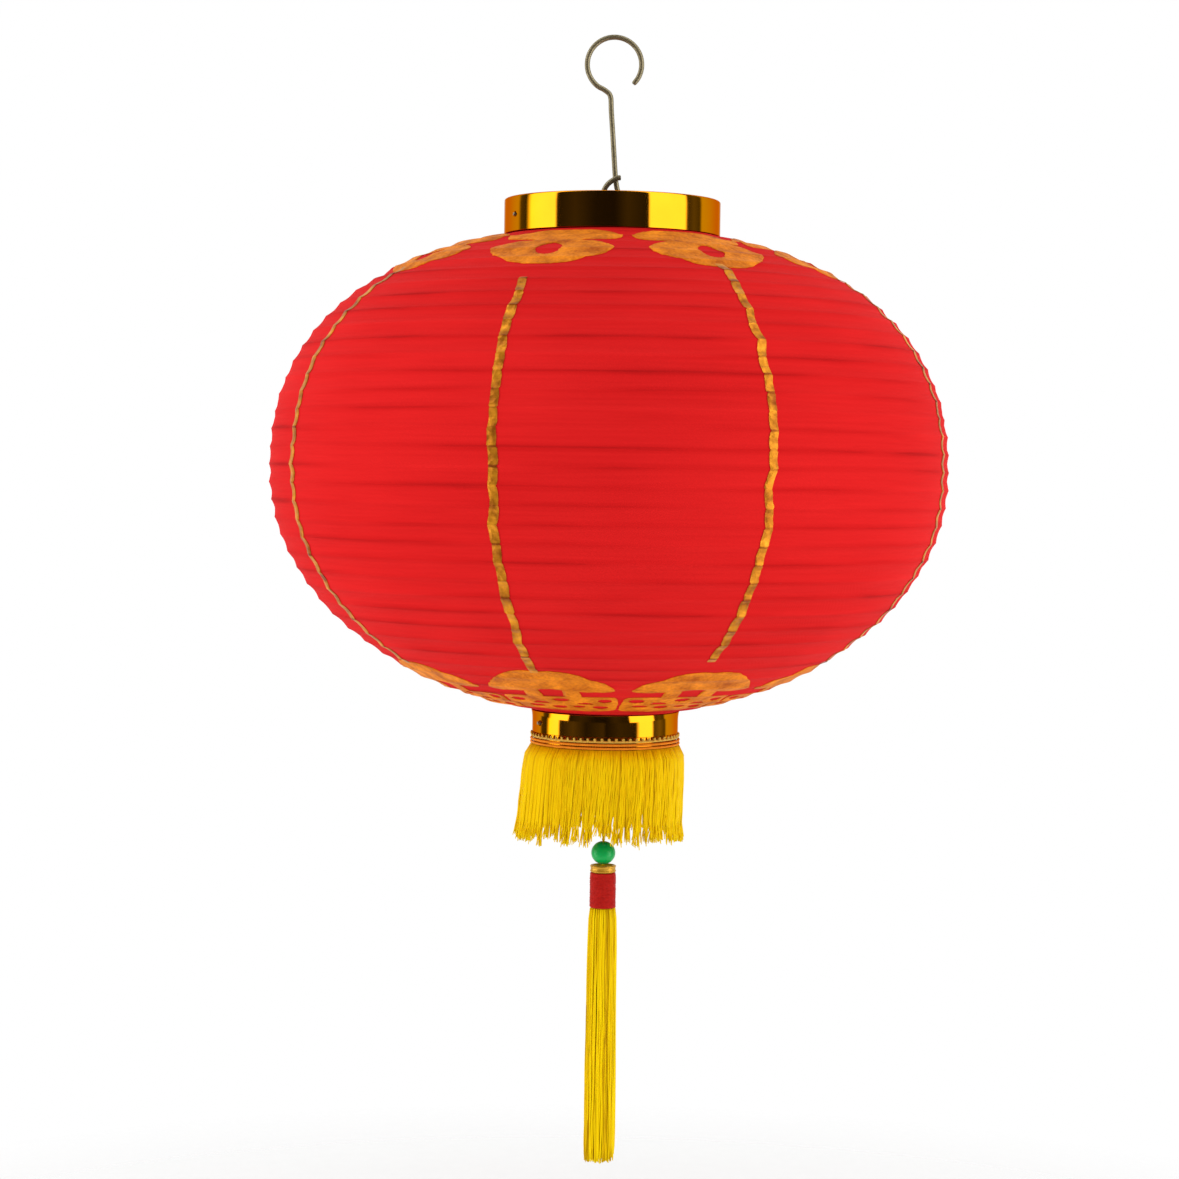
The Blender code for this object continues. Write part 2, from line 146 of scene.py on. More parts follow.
def buildMesh(name, points, faces, material, uvs=None, shades=None, smooth=True, closed=True):
    # points is an array; faces is a list of corner lists; uvs has a row per corner
    mesh = bpy.data.meshes.new(name)
    mesh.from_pydata(np.asarray(points).tolist(), [], faces)
    if uvs is not None:
        layer = mesh.uv_layers.new(name="UVMap")
        layer.data.foreach_set("uv", np.asarray(uvs, np.float32).ravel())
    if shades is not None:
        setPointValues(mesh, "shade", shades)
    mesh.polygons.foreach_set("use_smooth", [smooth] * len(faces))
    mesh.materials.append(material)
    mesh.update()
    obj = bpy.data.objects.new(name, mesh)
    bpy.context.scene.collection.objects.link(obj)
    return faceOut(obj) if closed else obj


def setPointValues(mesh, name, values):
    attribute = mesh.attributes.new(name, "FLOAT", "POINT")
    attribute.data.foreach_set("value", np.asarray(values, np.float32).ravel())


def gridFaces(rows, columns, closeRows=False):
    # quads over a grid of points whose columns close into a ring
    row = np.arange(rows if closeRows else rows - 1)
    row, column = (a.ravel() for a in np.meshgrid(row, np.arange(columns), indexing="ij"))
    nextRow = (row + 1) % rows
    nextColumn = (column + 1) % columns
    return np.stack([
        row * columns + column,
        row * columns + nextColumn,
        nextRow * columns + nextColumn,
        nextRow * columns + column,
    ], axis=1)


def unit(vectors):
    return vectors / np.linalg.norm(vectors, axis=-1, keepdims=True)


def tubes(paths, radius, sides, ref=(1.0, 0.0, 0.0), closed=False):
    # round threads along paths, an array of thread by point by xyz, all in one mesh
    paths = np.asarray(paths, float)
    count, steps = paths.shape[:2]
    if closed:
        along = np.roll(paths, -1, 1) - np.roll(paths, 1, 1)
    else:
        along = np.gradient(paths, axis=1)
    along = unit(along)
    first = unit(np.cross(along, np.broadcast_to(ref, along.shape)))
    second = np.cross(along, first)
    turn = (np.arange(sides) * tau / sides)[None, None, :, None]
    ring = first[:, :, None] * np.cos(turn) + second[:, :, None] * np.sin(turn)
    thick = np.broadcast_to(radius, (count, steps))[:, :, None, None]
    points = (paths[:, :, None] + thick * ring).reshape(-1, 3)
    one = gridFaces(steps, sides, closeRows=closed)
    starts = (np.arange(count) * steps * sides)[:, None, None]
    faces = (one[None] + starts).reshape(-1, 4).tolist()
    if not closed:
        for start in range(0, count * steps * sides, steps * sides):
            end = start + (steps - 1) * sides
            faces.append(list(range(start + sides - 1, start - 1, -1)))
            faces.append(list(range(end, end + sides)))
    return points, faces


def lathe(profile, sides):
    # turns a closed outline of (radius, height) about Z
    outline = np.array(profile)
    turn = np.arange(sides) * tau / sides
    points = turnedSpots(turn, outline[:, None, 0], outline[:, None, 1]).reshape(-1, 3)
    return points, gridFaces(len(outline), sides, closeRows=True)[:, ::-1].tolist()


def faceOut(obj):
    # turns the faces round if the closed mesh is inside out
    mesh = obj.data
    mesh.calc_loop_triangles()
    corners = np.empty(len(mesh.loop_triangles) * 3, np.int32)
    mesh.loop_triangles.foreach_get("vertices", corners)
    places = np.empty(len(mesh.vertices) * 3, np.float32)
    mesh.vertices.foreach_get("co", places)
    a, b, c = places.reshape(-1, 3).astype(float)[corners.reshape(-1, 3)].transpose(1, 0, 2)
    if (a * np.cross(b, c)).sum() < 0:
        mesh.flip_normals()
    return obj


def joinParts(parts):
    # several (points, faces) made one
    points, faces, start = [], [], 0
    for some, corners in parts:
        points.append(some)
        faces += [[start + i for i in face] for face in corners]
        start += len(some)
    return np.concatenate(points), faces


def turnedSpots(angle, radius, height):
    return np.stack(np.broadcast_arrays(radius * np.cos(angle), radius * np.sin(angle), height), axis=-1)


def midHeight(node):
    low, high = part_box(node)
    return (low.z + high.z) / 2


def finishPiece(obj, body, slot, *nodes):
    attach(obj, body)
    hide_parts(*nodes)
    return obj


# Cloth: a pleated shell on 36 hoops. A pleat coordinate runs 0 at the top edge to 37 at the bottom edge.
cloth = {
    "radius": 150.0 * mm,
    "upperHeight": 104.1 * mm,
    "lowerHeight": 105.0 * mm,
    "upperFullness": 2.3,  # powers of the outline's two curves: 2 is an ellipse, more is squarer
    "lowerFullness": 2.02,
    "topRadius": 47.8 * mm,
    "lowRadius": 33.0 * mm,
    "hoops": 36,
    "around": 216,
    "rowsInPleat": (0.0, 0.1, 0.3, 0.5, 0.7, 0.9),
    "foldDepth": 0.72 * mm,
    "foldSpread": (0.8, 1.18),  # of that depth, pleat by pleat
    "valleyPower": 0.9,
    "wander": ((3, 0.13), (8, 0.09), (23, 0.05)),  # waves round the lantern and their share of the depth
    "outOfRound": 0.16 * mm,
    "usualPitch": 7.8 * mm,  # pleats narrower than this are shallower too
    "thickness": 0.3 * mm,
    "edgeGap": 0.3 * mm,
    "weavePitch": 1.1,  # millimetres; the three below are parts per millimetre, round and down
    "slubs": (0.03, 0.9, 1),
    "clouds": (0.012, 0.02, 1),
    # creases is the noise that breaks up the painted crease shade along the hoops
    "creases": (0.008, 0.12, 1),
    "creaseShadeReach": ([0, 0.12, 0.3], [1.0, 0.6, 0.0]),  # pleats from a hoop, and how strong the painted crease shade is there
    "seed": 11,
}
clothLow, clothTop = (corner.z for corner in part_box("lantern_skin"))
equator = clothTop - cloth["upperHeight"]
pleats = cloth["hoops"] + 1


def poleAngle(endRadius, power):
    return math.asin((1 - (endRadius / cloth["radius"]) ** power) ** (1 / power))


def outlineAt(share):
    # radius and height this share of the way down the cloth, in equal angle steps
    upper = poleAngle(cloth["topRadius"], cloth["upperFullness"])
    lower = poleAngle(cloth["lowRadius"], cloth["lowerFullness"])
    angle = upper - np.asarray(share) * (upper + lower)
    above = angle > 0
    power = np.where(above, cloth["upperFullness"], cloth["lowerFullness"])
    reach = np.where(above, cloth["upperHeight"], cloth["lowerHeight"])
    endRadius = np.where(above, cloth["topRadius"], cloth["lowRadius"])
    part = np.sin(angle) / np.sin(np.where(above, upper, lower))
    drop = (1 - (endRadius / cloth["radius"]) ** power) * np.abs(part) ** power
    return cloth["radius"] * (1 - drop) ** (1 / power), equator + reach * part


rowPleat = np.array([k + f for k in range(pleats) for f in cloth["rowsInPleat"]] + [pleats])
rowRadius, rowHeight = outlineAt(rowPleat / pleats)
step = 1e-4
aheadRadius, aheadHeight = outlineAt(np.minimum(rowPleat / pleats + step, 1))
behindRadius, behindHeight = outlineAt(np.maximum(rowPleat / pleats - step, 0))
rowNormal = unit(np.stack([behindHeight - aheadHeight, aheadRadius - behindRadius], axis=1))
rowArc = np.concatenate([[0], np.cumsum(np.hypot(np.diff(rowRadius), np.diff(rowHeight)))])
rowPitch = np.gradient(rowArc, rowPleat)
pleatRandom = np.random.default_rng(cloth["seed"])
pleatDepth = pleatRandom.uniform(*cloth["foldSpread"], pleats + 1)
pleatPhase = pleatRandom.uniform(0, tau, (pleats + 1, 3))


def foldAt(row, angle):
    # how far the cloth is drawn in here, and the share of a full fold that this is
    pleat = np.minimum(rowPleat[row].astype(int), pleats - 1)
    part = rowPleat[row] - pleat
    valley = np.sin(np.pi * part) ** cloth["valleyPower"]
    phase = pleatPhase[pleat]
    wander = 0
    for i, (waves, size) in enumerate(cloth["wander"]):
        wander = wander + size * np.sin(waves * angle + phase[..., i])
    depth = cloth["foldDepth"] * np.minimum(1, rowPitch[row] / cloth["usualPitch"]) * pleatDepth[pleat]
    # the ridges are never quite round either
    ridgePhase = pleatPhase[np.rint(rowPleat[row]).astype(int), 1]
    ridge = cloth["outOfRound"] * np.sin(2 * angle + ridgePhase)
    return depth * valley * (1 + wander) + ridge, valley


def clothRowSpot(row, angle, lift):
    fold = foldAt(row, angle)[0]
    radius = rowRadius[row] + rowNormal[row, 0] * (lift - fold)
    height = rowHeight[row] + rowNormal[row, 1] * (lift - fold)
    return turnedSpots(angle, radius, height)


def clothSpot(rowPlace, angle, lift):
    # a point on the cloth's own facets, lifted off them; rowPlace may lie between two rows
    rowPlace = np.clip(rowPlace, 0, len(rowPleat) - 1.000001)
    low = rowPlace.astype(int)
    part = (rowPlace - low)[..., None]
    return clothRowSpot(low, angle, lift) * (1 - part) + clothRowSpot(low + 1, angle, lift) * part


def rowAtArc(arc):
    return np.interp(arc, rowArc, np.arange(len(rowPleat)))


def rowFromBelow(arc):
    return rowAtArc(rowArc[-1] - arc)


def rowAtPleat(pleat):
    return np.interp(pleat, rowPleat, np.arange(len(rowPleat)))


def foldWithLantern(obj):
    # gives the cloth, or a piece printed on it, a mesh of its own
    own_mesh(obj)


# Red nylon taffeta, dyed in the piece: an even, soft, slightly shiny red whose weave only shows as a faint
# grain; painted shade makes it a little darker in the folds and in thin lines along the hoops
clothMaterial, tree, shader = newMaterial(
    "red dyed nylon taffeta", Roughness=0.78, IOR=1.53, Specular_IOR_Level=0.06
)
place = addNode(tree, "UVMap").outputs["UV"]
# taffeta has a thread each 0.12 mm; at that it wouldn't show, so it is drawn about nine times coarser
pace = (tau / cloth["weavePitch"],) * 3
threads = addNode(tree, "VectorMath", {0: place, 1: pace}, operation="MULTIPLY")
axes = addNode(tree, "SeparateXYZ", {0: threads.outputs[0]})
warp = addNode(tree, "Math", {0: axes.outputs["X"]}, operation="SINE")
weft = addNode(tree, "Math", {0: axes.outputs["Y"]}, operation="SINE")
weave = addNode(tree, "Math", {0: warp.outputs[0], 1: weft.outputs[0]}, operation="MULTIPLY")
noises = []
for pattern, detail in (("slubs", 3.0), ("clouds", 2.0), ("creases", 1.0)):
    stretched = addNode(tree, "Mapping", {"Vector": place, "Scale": cloth[pattern]})
    noises.append(addNode(tree, "TexNoise", {"Vector": stretched.outputs[0], "Scale": 1.0, "Detail": detail}))
slubs, clouds, fade = (noise.outputs[0] for noise in noises)
# painted shade: a little darker deep in each fold, by how deep the fold is there
foldShade = addNode(tree, "Attribute", attribute_name="shade").outputs["Fac"]
# painted shade: thin dark crease lines that come and go along the hoops
hoopShadeLine = addNode(tree, "Attribute", attribute_name="creaseShade").outputs["Fac"]
shown = addNode(tree, "MapRange", {"Value": fade, "From Min": 0.32, "From Max": 0.6}).outputs[0]
creaseShade = addNode(tree, "Math", {0: shown, 1: hoopShadeLine}, operation="MULTIPLY").outputs[0]
mixed = 0.3
for source, weight in ((clouds, 0.5), (slubs, 0.35), (foldShade, -0.2), (creaseShade, -0.55)):
    mixed = addNode(tree, "Math", {0: source, 1: weight, 2: mixed}, operation="MULTIPLY_ADD").outputs[0]
red = blendColors(tree, mixed, "#A40E10", "#EA2424", (0.3, "#CE1718"))
tree.links.new(red, shader.inputs["Base Color"])
grain = addNode(tree, "Math", {0: weave.outputs[0], 1: 0.35, 2: slubs}, operation="MULTIPLY_ADD")
addBump(tree, shader, grain.outputs[0], 0.08 * mm)


def makeCloth():
    around, rows = cloth["around"], len(rowPleat)
    row, column = np.meshgrid(np.arange(rows), np.arange(around), indexing="ij")
    angle = column * tau / around
    outer = clothRowSpot(row, angle, 0.0).reshape(-1, 3)
    inner = clothRowSpot(row, angle, -cloth["thickness"]).reshape(-1, 3)
    faces = gridFaces(rows, around)
    rim = np.arange(around)
    nextRim = (rim + 1) % around
    size = rows * around
    topRim = np.stack([rim, rim + size, nextRim + size, nextRim], axis=1)
    lowRim = np.stack([rim, nextRim, nextRim + size, rim + size], axis=1) + size - around
    everyFace = np.concatenate([faces[:, ::-1], faces + size, topRim, lowRim])
    # uv in millimetres of cloth: round the widest hoop, and down the outline
    spotRow = (everyFace % size) // around
    spotColumn = (everyFace % size) % around
    wrapped = (spotColumn == 0) & (spotColumn.max(axis=1, keepdims=True) == around - 1)
    spotColumn = np.where(wrapped, around, spotColumn)
    uvs = np.stack([spotColumn * tau / around * cloth["radius"] / mm, rowArc[spotRow] / mm], axis=2)
    shade = foldAt(row, angle)[1].ravel()
    obj = buildMesh(
        "lantern_cloth", np.concatenate([outer, inner]), everyFace.tolist(), clothMaterial,
        uvs=uvs.reshape(-1, 2), shades=np.concatenate([shade, shade]),
    )
    # painted crease shade: strongest on a hoop's own row, gone a third of a pleat away
    fromHoop = np.abs(rowPleat - np.rint(rowPleat))
    creaseShade = np.interp(fromHoop, *cloth["creaseShadeReach"])[row].ravel()
    setPointValues(obj.data, "creaseShade", np.concatenate([creaseShade, creaseShade]))
    finishPiece(obj, "upper_frame", "red_nylon_cloth", "lantern_skin")
    foldWithLantern(obj)


makeCloth()

# Hoops: thin spring wire, each sewn into the cloth in a red binding
hoop = {
    "binding": 0.85 * mm,
    "clear": 0.12 * mm,  # between the binding and the cloth
    "bulge": 0.08,
    "around": 128,
    "sides": 8,
    "stitch": 2.4 * mm,
}
# Cotton binding tape wound on steel wire: dull red with slanting turns
bindingMaterial = patchyMaterial(
    "red cotton binding", "#8E1216", "#C4262A", hoop["stitch"], 1.0, 0.15 * mm,
    Roughness=0.85, IOR=1.5, Specular_IOR_Level=0.15,
)


def makeHoops():
    inward = cloth["thickness"] + hoop["binding"] + hoop["clear"]
    angle = np.arange(hoop["around"]) * tau / hoop["around"]
    for number in range(1, cloth["hoops"] + 1):
        node = f"hoop_{number:02d}"
        row = int(rowAtPleat(number) + 0.5)
        spots = clothRowSpot(np.full(len(angle), row), angle, -inward)
        turns = round(tau * float(outlineAt(number / pleats)[0]) / hoop["stitch"])
        wound = hoop["binding"] * (1 + hoop["bulge"] * np.cos(angle * turns))
        points, faces = tubes(spots[None], wound[None], hoop["sides"], ref=(0, 0, 1), closed=True)
        obj = buildMesh("bound_" + node, points, faces, bindingMaterial)
        finishPiece(obj, node, "thin_steel_wire", node)


makeHoops()
print("hoops are bound")

# Gold printed on the cloth: eight flowers above, eight below with a collar under them.
# Outlines are halves, as (degrees round from the flower's middle, millimetres from the cloth's edge).
gilding = {
    "lift": 0.16 * mm,
    "layer": 0.1 * mm,
    "halfSpan": 22.4,  # degrees
    "columnStep": 1.3,  # degrees between the points laid inside an outline
    "edgeStep": 1.4,
    "wobble": 0.16,
    "seed": 23,
    "topLobe": [
        (0, 58.5), (3.5, 58.2), (7, 56.4), (10.5, 53.2), (14, 49), (16.8, 45), (17.9, 41.6),
        (17.2, 37.6), (14.6, 34.6), (11.2, 32.8), (8.4, 31.6), (7.2, 30.2), (8.4, 28.8), (11.6, 28.2),
        (15.6, 28), (19.2, 26.6), (20.9, 23.6), (20.7, 19.6), (18.6, 15.4), (14, 12.4), (7, 10.8),
        (0, 10.2),
    ],
    "topOval": (0, 42, 3.6, 7),
    "lowLobe": [
        (0, 68), (3, 69), (7, 68), (11, 64.4), (15.4, 59), (19, 53.4), (20.4, 49.6), (18.4, 47.2),
        (13, 47), (8, 47.6), (5.4, 48), (3.6, 49.4), (1.8, 51), (0, 51.2),
    ],
    "lowNeck": [(3.4, 50), (9, 50), (9.6, 38), (4, 38)],
    "collar": [
        (0, 41), (8, 42), (15, 41.6), (20, 40), (21.7, 36), (21.9, 29), (21.9, 20), (21.2, 16),
        (15, 14.4), (7, 14), (0, 14),
    ],
    "collarOvals": [
        (-16.5, 35, 3, 1.9), (-7.5, 32, 3.4, 1.8), (1, 36, 3.2, 1.9), (9.5, 31.5, 3.4, 1.8),
        (17, 35, 2.6, 1.8), (-13, 25, 3.8, 1.8), (-3, 23.5, 3.4, 1.7), (6, 24.5, 2.8, 1.6),
        (15, 23.5, 3.4, 1.8),
    ],
}


def ovalOutline(middle, arc, halfWidth, halfLength):
    turn = np.arange(22) * tau / 22
    return [(middle + halfWidth * math.cos(t), arc + halfLength * math.sin(t)) for t in turn]


def bothHalves(half):
    # mirrors a half outline that starts and ends on the middle line
    return half + [(-x, s) for x, s in reversed(half) if abs(x) > 1e-6]


def insideOutline(spots, outline):
    inside = np.zeros(len(spots), bool)
    corners = np.array(outline)
    x, y = spots[:, 0], spots[:, 1]
    for (ax, ay), (bx, by) in zip(corners, np.roll(corners, -1, 0)):
        crosses = (ay > y) != (by > y)
        with np.errstate(divide="ignore", invalid="ignore"):
            at = (bx - ax) * (y - ay) / (by - ay) + ax
        inside ^= crosses & (x < at)
    return inside


def drawnOutline(outline, arcToRow, random):
    # rounds a corner outline off, steps it finely and gives its edge a printed unevenness
    corners = np.array(outline, float)
    for _ in range(2):
        ahead = np.roll(corners, -1, 0)
        cut = [corners * 0.75 + ahead * 0.25, corners * 0.25 + ahead * 0.75]
        corners = np.stack(cut, axis=1).reshape(-1, 2)
    found = []
    for a, b in zip(corners, np.roll(corners, -1, 0)):
        pieces = max(1, int(np.hypot(*(b - a)) / gilding["edgeStep"]))
        found += [a + (b - a) * i / pieces for i in range(pieces)]
    found = np.array(found)
    found += random.normal(0, gilding["wobble"], found.shape) * (0.6, 1)
    return np.stack([found[:, 0], arcToRow(found[:, 1] * mm)], axis=1)


def printedPatch(outlines, holes, middle, arcToRow, random):
    # one flat shape laid on the pleats: a thin closed layer that follows every fold
    outlines = [drawnOutline(o, arcToRow, random) for o in outlines]
    holes = [drawnOutline(h, arcToRow, random) for h in holes]
    edge = np.concatenate(outlines)
    rows = np.arange(math.ceil(edge[:, 1].min()), math.floor(edge[:, 1].max()) + 1)
    columns = np.arange(-gilding["halfSpan"], gilding["halfSpan"] + 0.1, gilding["columnStep"])
    points, edges = [], []
    for outline in outlines + holes:
        start = len(points)
        points += outline.tolist()
        edges += [(start + i, start + (i + 1) % len(outline)) for i in range(len(outline))]
    points += [(x, float(r)) for r in rows for x in columns]
    flat, _, faces, _, _, _ = delaunay_2d_cdt([Vector(p) for p in points], edges, [], 0, 1e-5)
    flat = np.array([tuple(p) for p in flat])
    faces = np.array([list(f) for f in faces])
    middles = flat[faces].mean(axis=1)
    kept = np.zeros(len(faces), bool)
    for outline in outlines:
        kept |= insideOutline(middles, outline)
    for hole in holes:
        kept &= ~insideOutline(middles, hole)
    used, faces = np.unique(faces[kept], return_inverse=True)
    faces = faces.reshape(-1, 3)
    flat = flat[used]
    angle = math.radians(middle) + np.radians(flat[:, 0])
    upper = clothSpot(flat[:, 1], angle, gilding["lift"] + gilding["layer"])
    lower = clothSpot(flat[:, 1], angle, gilding["lift"] - gilding["layer"])
    # a side that no other triangle shares is on the rim, where a wall joins the two layers
    sides = np.concatenate([faces[:, [0, 1]], faces[:, [1, 2]], faces[:, [2, 0]]])
    keys = sides[:, 0] * len(flat) + sides[:, 1]
    back = sides[:, 1] * len(flat) + sides[:, 0]
    rim = sides[~np.isin(keys, back)]
    size = len(flat)
    walls = np.stack([rim[:, 1], rim[:, 0], rim[:, 0] + size, rim[:, 1] + size], axis=1)
    every = faces.tolist() + (faces[:, ::-1] + size).tolist() + walls.tolist()
    return np.concatenate([upper, lower]), every


# Gold ink screened on cloth: an orange gold that breaks up a little where the folds rub
printMaterial, tree, shader = newMaterial("screened gold ink", Roughness=0.6, Specular_IOR_Level=0.08)
place = addNode(tree, "TexCoord").outputs["Object"]
patches = addNode(tree, "TexNoise", {"Vector": place, "Scale": 1 / (9 * mm), "Detail": 4.0})
specks = addNode(tree, "TexNoise", {"Vector": place, "Scale": 1 / (1.3 * mm), "Detail": 2.0})
worn = addNode(tree, "Math", {0: specks.outputs[0], 1: 0.9, 2: -0.95}, operation="MULTIPLY_ADD")
worn = addNode(tree, "Math", {0: patches.outputs[0], 1: 2.0, 2: worn.outputs[0]}, operation="MULTIPLY_ADD")
tree.links.new(blendColors(tree, worn.outputs[0], "#B05208", "#FF961E"), shader.inputs["Base Color"])
addBump(tree, shader, specks.outputs[0], 0.12 * mm)


def makePrint():
    random = np.random.default_rng(gilding["seed"])
    neck = gilding["lowNeck"]
    otherNeck = [(-x, s) for x, s in reversed(neck)]
    top = [bothHalves(gilding["topLobe"])]
    low = [bothHalves(gilding["lowLobe"]), bothHalves(gilding["collar"]), neck, otherNeck]
    topOvals = [ovalOutline(*gilding["topOval"])]
    lowOvals = [ovalOutline(*oval) for oval in gilding["collarOvals"]]
    for name, outlines, holes, arcToRow in (
        ("upper_gold_flowers", top, topOvals, rowAtArc),
        ("lower_gold_flowers", low, lowOvals, rowFromBelow),
    ):
        parts = [printedPatch(outlines, holes, middle, arcToRow, random) for middle in range(0, 360, 45)]
        obj = buildMesh(name, *joinParts(parts), printMaterial)
        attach(obj, "upper_frame")
        foldWithLantern(obj)


makePrint()
print("flowers are printed")

# Gold ribs: foil tape laid down the cloth from flower to flower, kinked at each fold
rib = {
    "halfWidth": 1.95 * mm,
    "widthSpread": (0.82, 1.1),
    "pinch": 0.84,  # how wide it is where it crosses a hoop, against between them
    "startArc": 56 * mm,
    "endArc": 66 * mm,
    "lateRib": 225,  # this one starts below a gap
    "lateStart": 70.5 * mm,
    "earlyRib": 270,  # this one ends above a gap
    "earlyEnd": 77 * mm,
    "slants": {225: (-1.1, -0.8), 270: (-1.5, -3.4)},  # degrees off at the upper and lower end
    "lift": 0.24 * mm,
    "over": 0.06 * mm,
    "under": 0.14 * mm,
    "crown": 0.12 * mm,
    "kink": 0.5 * mm,
    "slipShare": 0.2,  # this share of the kinks slips further
    "slip": 1.1 * mm,
    "drift": 0.2 * mm,
    "raggedEdge": 0.08 * mm,
    "seed": 5,
}
# Hot-stamped gold foil tape: bright and creased, with painted shade darkening it where it crosses the hoops
foilMaterial, tree, shader = newMaterial(
    "creased gold foil tape", Roughness=0.4, Metallic=0.45, Specular_IOR_Level=0.15
)
place = addNode(tree, "TexCoord").outputs["Object"]
creases = addNode(
    tree, "TexVoronoi", {"Vector": place, "Scale": 1 / (2.6 * mm)}, feature="F1"
)
patches = addNode(tree, "TexNoise", {"Vector": place, "Scale": 1 / (6 * mm), "Detail": 3.0})
# painted shade: darker notches where the foil kinks over a hoop
paintedHoopShade = addNode(tree, "Attribute", attribute_name="shade").outputs["Fac"]
bright = addNode(tree, "Math", {0: patches.outputs[0], 1: 1.7, 2: -0.3}, operation="MULTIPLY_ADD")
bright = addNode(tree, "Math", {0: paintedHoopShade, 1: -0.75, 2: bright.outputs[0]}, operation="MULTIPLY_ADD")
tree.links.new(blendColors(tree, bright.outputs[0], "#8A4208", "#FFAA28"), shader.inputs["Base Color"])
addBump(tree, shader, creases.outputs["Distance"], 0.35 * mm)


def ribStrip(middle, random):
    # one rib's points, faces and shades, ten points to a row
    start = rib["lateStart"] if middle == rib["lateRib"] else rib["startArc"]
    end = rib["earlyEnd"] if middle == rib["earlyRib"] else rib["endArc"]
    first, last = int(rowAtArc(start)), int(rowFromBelow(end))
    rows = np.arange(first, last + 1)
    pleat = rowPleat[rows]
    marks = pleats + 2
    slide = random.normal(0, rib["kink"], marks)
    slide += np.where(random.random(marks) < rib["slipShare"], random.normal(0, rib["slip"], marks), 0)
    drift = np.cumsum(random.normal(0, rib["drift"], marks))
    # the drift comes back to nothing at both ends
    perPleat = len(cloth["rowsInPleat"])
    ends = [drift[first // perPleat], drift[last // perPleat]]
    drift -= np.interp(np.arange(marks), [first / perPleat, last / perPleat], ends)
    wide = rib["halfWidth"] * random.uniform(*rib["widthSpread"], (marks, 2))[np.floor(pleat).astype(int)]
    onHoop = pleat % 1 == 0
    wide = wide * np.where(onHoop, rib["pinch"], 1.0)[:, None]
    left, right = wide[:, 0], wide[:, 1]
    aside = np.interp(pleat, np.arange(marks), slide + drift)
    across = np.stack([-left, -left / 2, left * 0, right / 2, right], axis=1)
    across = across + aside[:, None] + random.normal(0, rib["raggedEdge"], across.shape)
    # painted shade: dark notches on the hoop rows, faint at random between them
    paintedHoopShade = np.where(onHoop, random.uniform(0, 1, len(rows)) ** 1.5, random.uniform(0, 0.3, len(rows)))
    slant = np.linspace(*rib["slants"].get(middle, (0, 0)), len(rows))[:, None]
    angle = np.radians(middle + slant) + across / rowRadius[rows][:, None]
    crown = rib["crown"] * np.array([0, 0.7, 1, 0.7, 0])
    rowGrid = np.broadcast_to(rows[:, None], across.shape)
    upper = clothRowSpot(rowGrid, angle, rib["lift"] + rib["over"] + crown)
    lower = clothRowSpot(rowGrid, angle, rib["lift"] - rib["under"])
    # a closed strip: the lower side runs back under the upper one
    ring = np.concatenate([upper, lower[:, ::-1]], axis=1)
    foot = (len(rows) - 1) * 10
    faces = gridFaces(len(rows), 10).tolist() + [list(range(9, -1, -1)), list(range(foot, foot + 10))]
    return ring.reshape(-1, 3), faces, np.repeat(paintedHoopShade, 10)


def makeRibs():
    random = np.random.default_rng(rib["seed"])
    strips = [ribStrip(middle, random) for middle in range(0, 360, 45)]
    points, faces = joinParts([strip[:2] for strip in strips])
    shades = np.concatenate([strip[2] for strip in strips])
    obj = buildMesh("gold_foil_ribs", points, faces, foilMaterial, shades=shades, smooth=False)
    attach(obj, "upper_frame")
    foldWithLantern(obj)


makeRibs()
print("ribs are laid")

# Caps: card hoops covered with mirror foil, a card ring glued inside each, and a cross wire through both
cap = {
    "sides": 192,
    "wall": 1.2 * mm,
    "bead": 0.75 * mm,  # the upper cap's rolled edge
    "corner": 0.3 * mm,
    "wireThick": 1.6 * mm,
    "wireHole": 1.35 * mm,
    "frameProud": 0.6 * mm,  # how far the frame's own wires stand out of the caps
    "wireProud": 0.9 * mm,
    "ringWidth": 1.8 * mm,
    "braidThick": 1.2 * mm,
    "gap": 0.3 * mm,
    "flare": 0.5 * mm,
    "flareSteps": ((0.3, 0), (0.55, 0), (0.7, 0.12), (0.85, 0.45)),  # shares of the height and the flare
}
# Vacuum-metallised polyester foil over card: a deep yellow mirror with a slight ripple
mirrorMaterial, tree, shader = newMaterial(
    "gold mirror foil on card", Roughness=0.07, Metallic=1.0, Specular_Tint=hexColor("#F2A03C")
)
place = addNode(tree, "TexCoord").outputs["Object"]
smears = addNode(tree, "TexNoise", {"Vector": place, "Scale": 1 / (14 * mm), "Detail": 3.0})
tree.links.new(blendColors(tree, smears.outputs[0], "#D68414", "#DF9218"), shader.inputs["Base Color"])
ripplePlace = addNode(tree, "Mapping", {"Vector": place, "Scale": (1, 1, 0.35)})
ripples = addNode(tree, "TexNoise", {"Vector": ripplePlace.outputs[0], "Scale": 1 / (11 * mm), "Detail": 1.0})
addBump(tree, shader, ripples.outputs[0], 0.05 * mm)

# Uncoated red card: flat and fibrous
cardMaterial = patchyMaterial(
    "uncoated red card", "#8A1418", "#B8221F", 1.2 * mm, 3.0, 0.1 * mm,
    Roughness=0.9, IOR=1.5, Specular_IOR_Level=0.15,
)

# Drawn mild steel wire, lacquered: an olive grey metal with fine marks along it
wireMaterial, tree, shader = newMaterial("lacquered steel wire", Roughness=0.42, Metallic=0.7)
place = addNode(tree, "TexCoord").outputs["Object"]
stains = addNode(tree, "TexNoise", {"Vector": place, "Scale": 1 / (5 * mm), "Detail": 4.0})
tree.links.new(blendColors(tree, stains.outputs[0], "#746B4E", "#9C9072"), shader.inputs["Base Color"])
scuffs = addNode(tree, "TexNoise", {"Vector": place, "Scale": 1 / (1.1 * mm), "Detail": 2.0})
addBump(tree, shader, scuffs.outputs[0], 0.012 * mm)


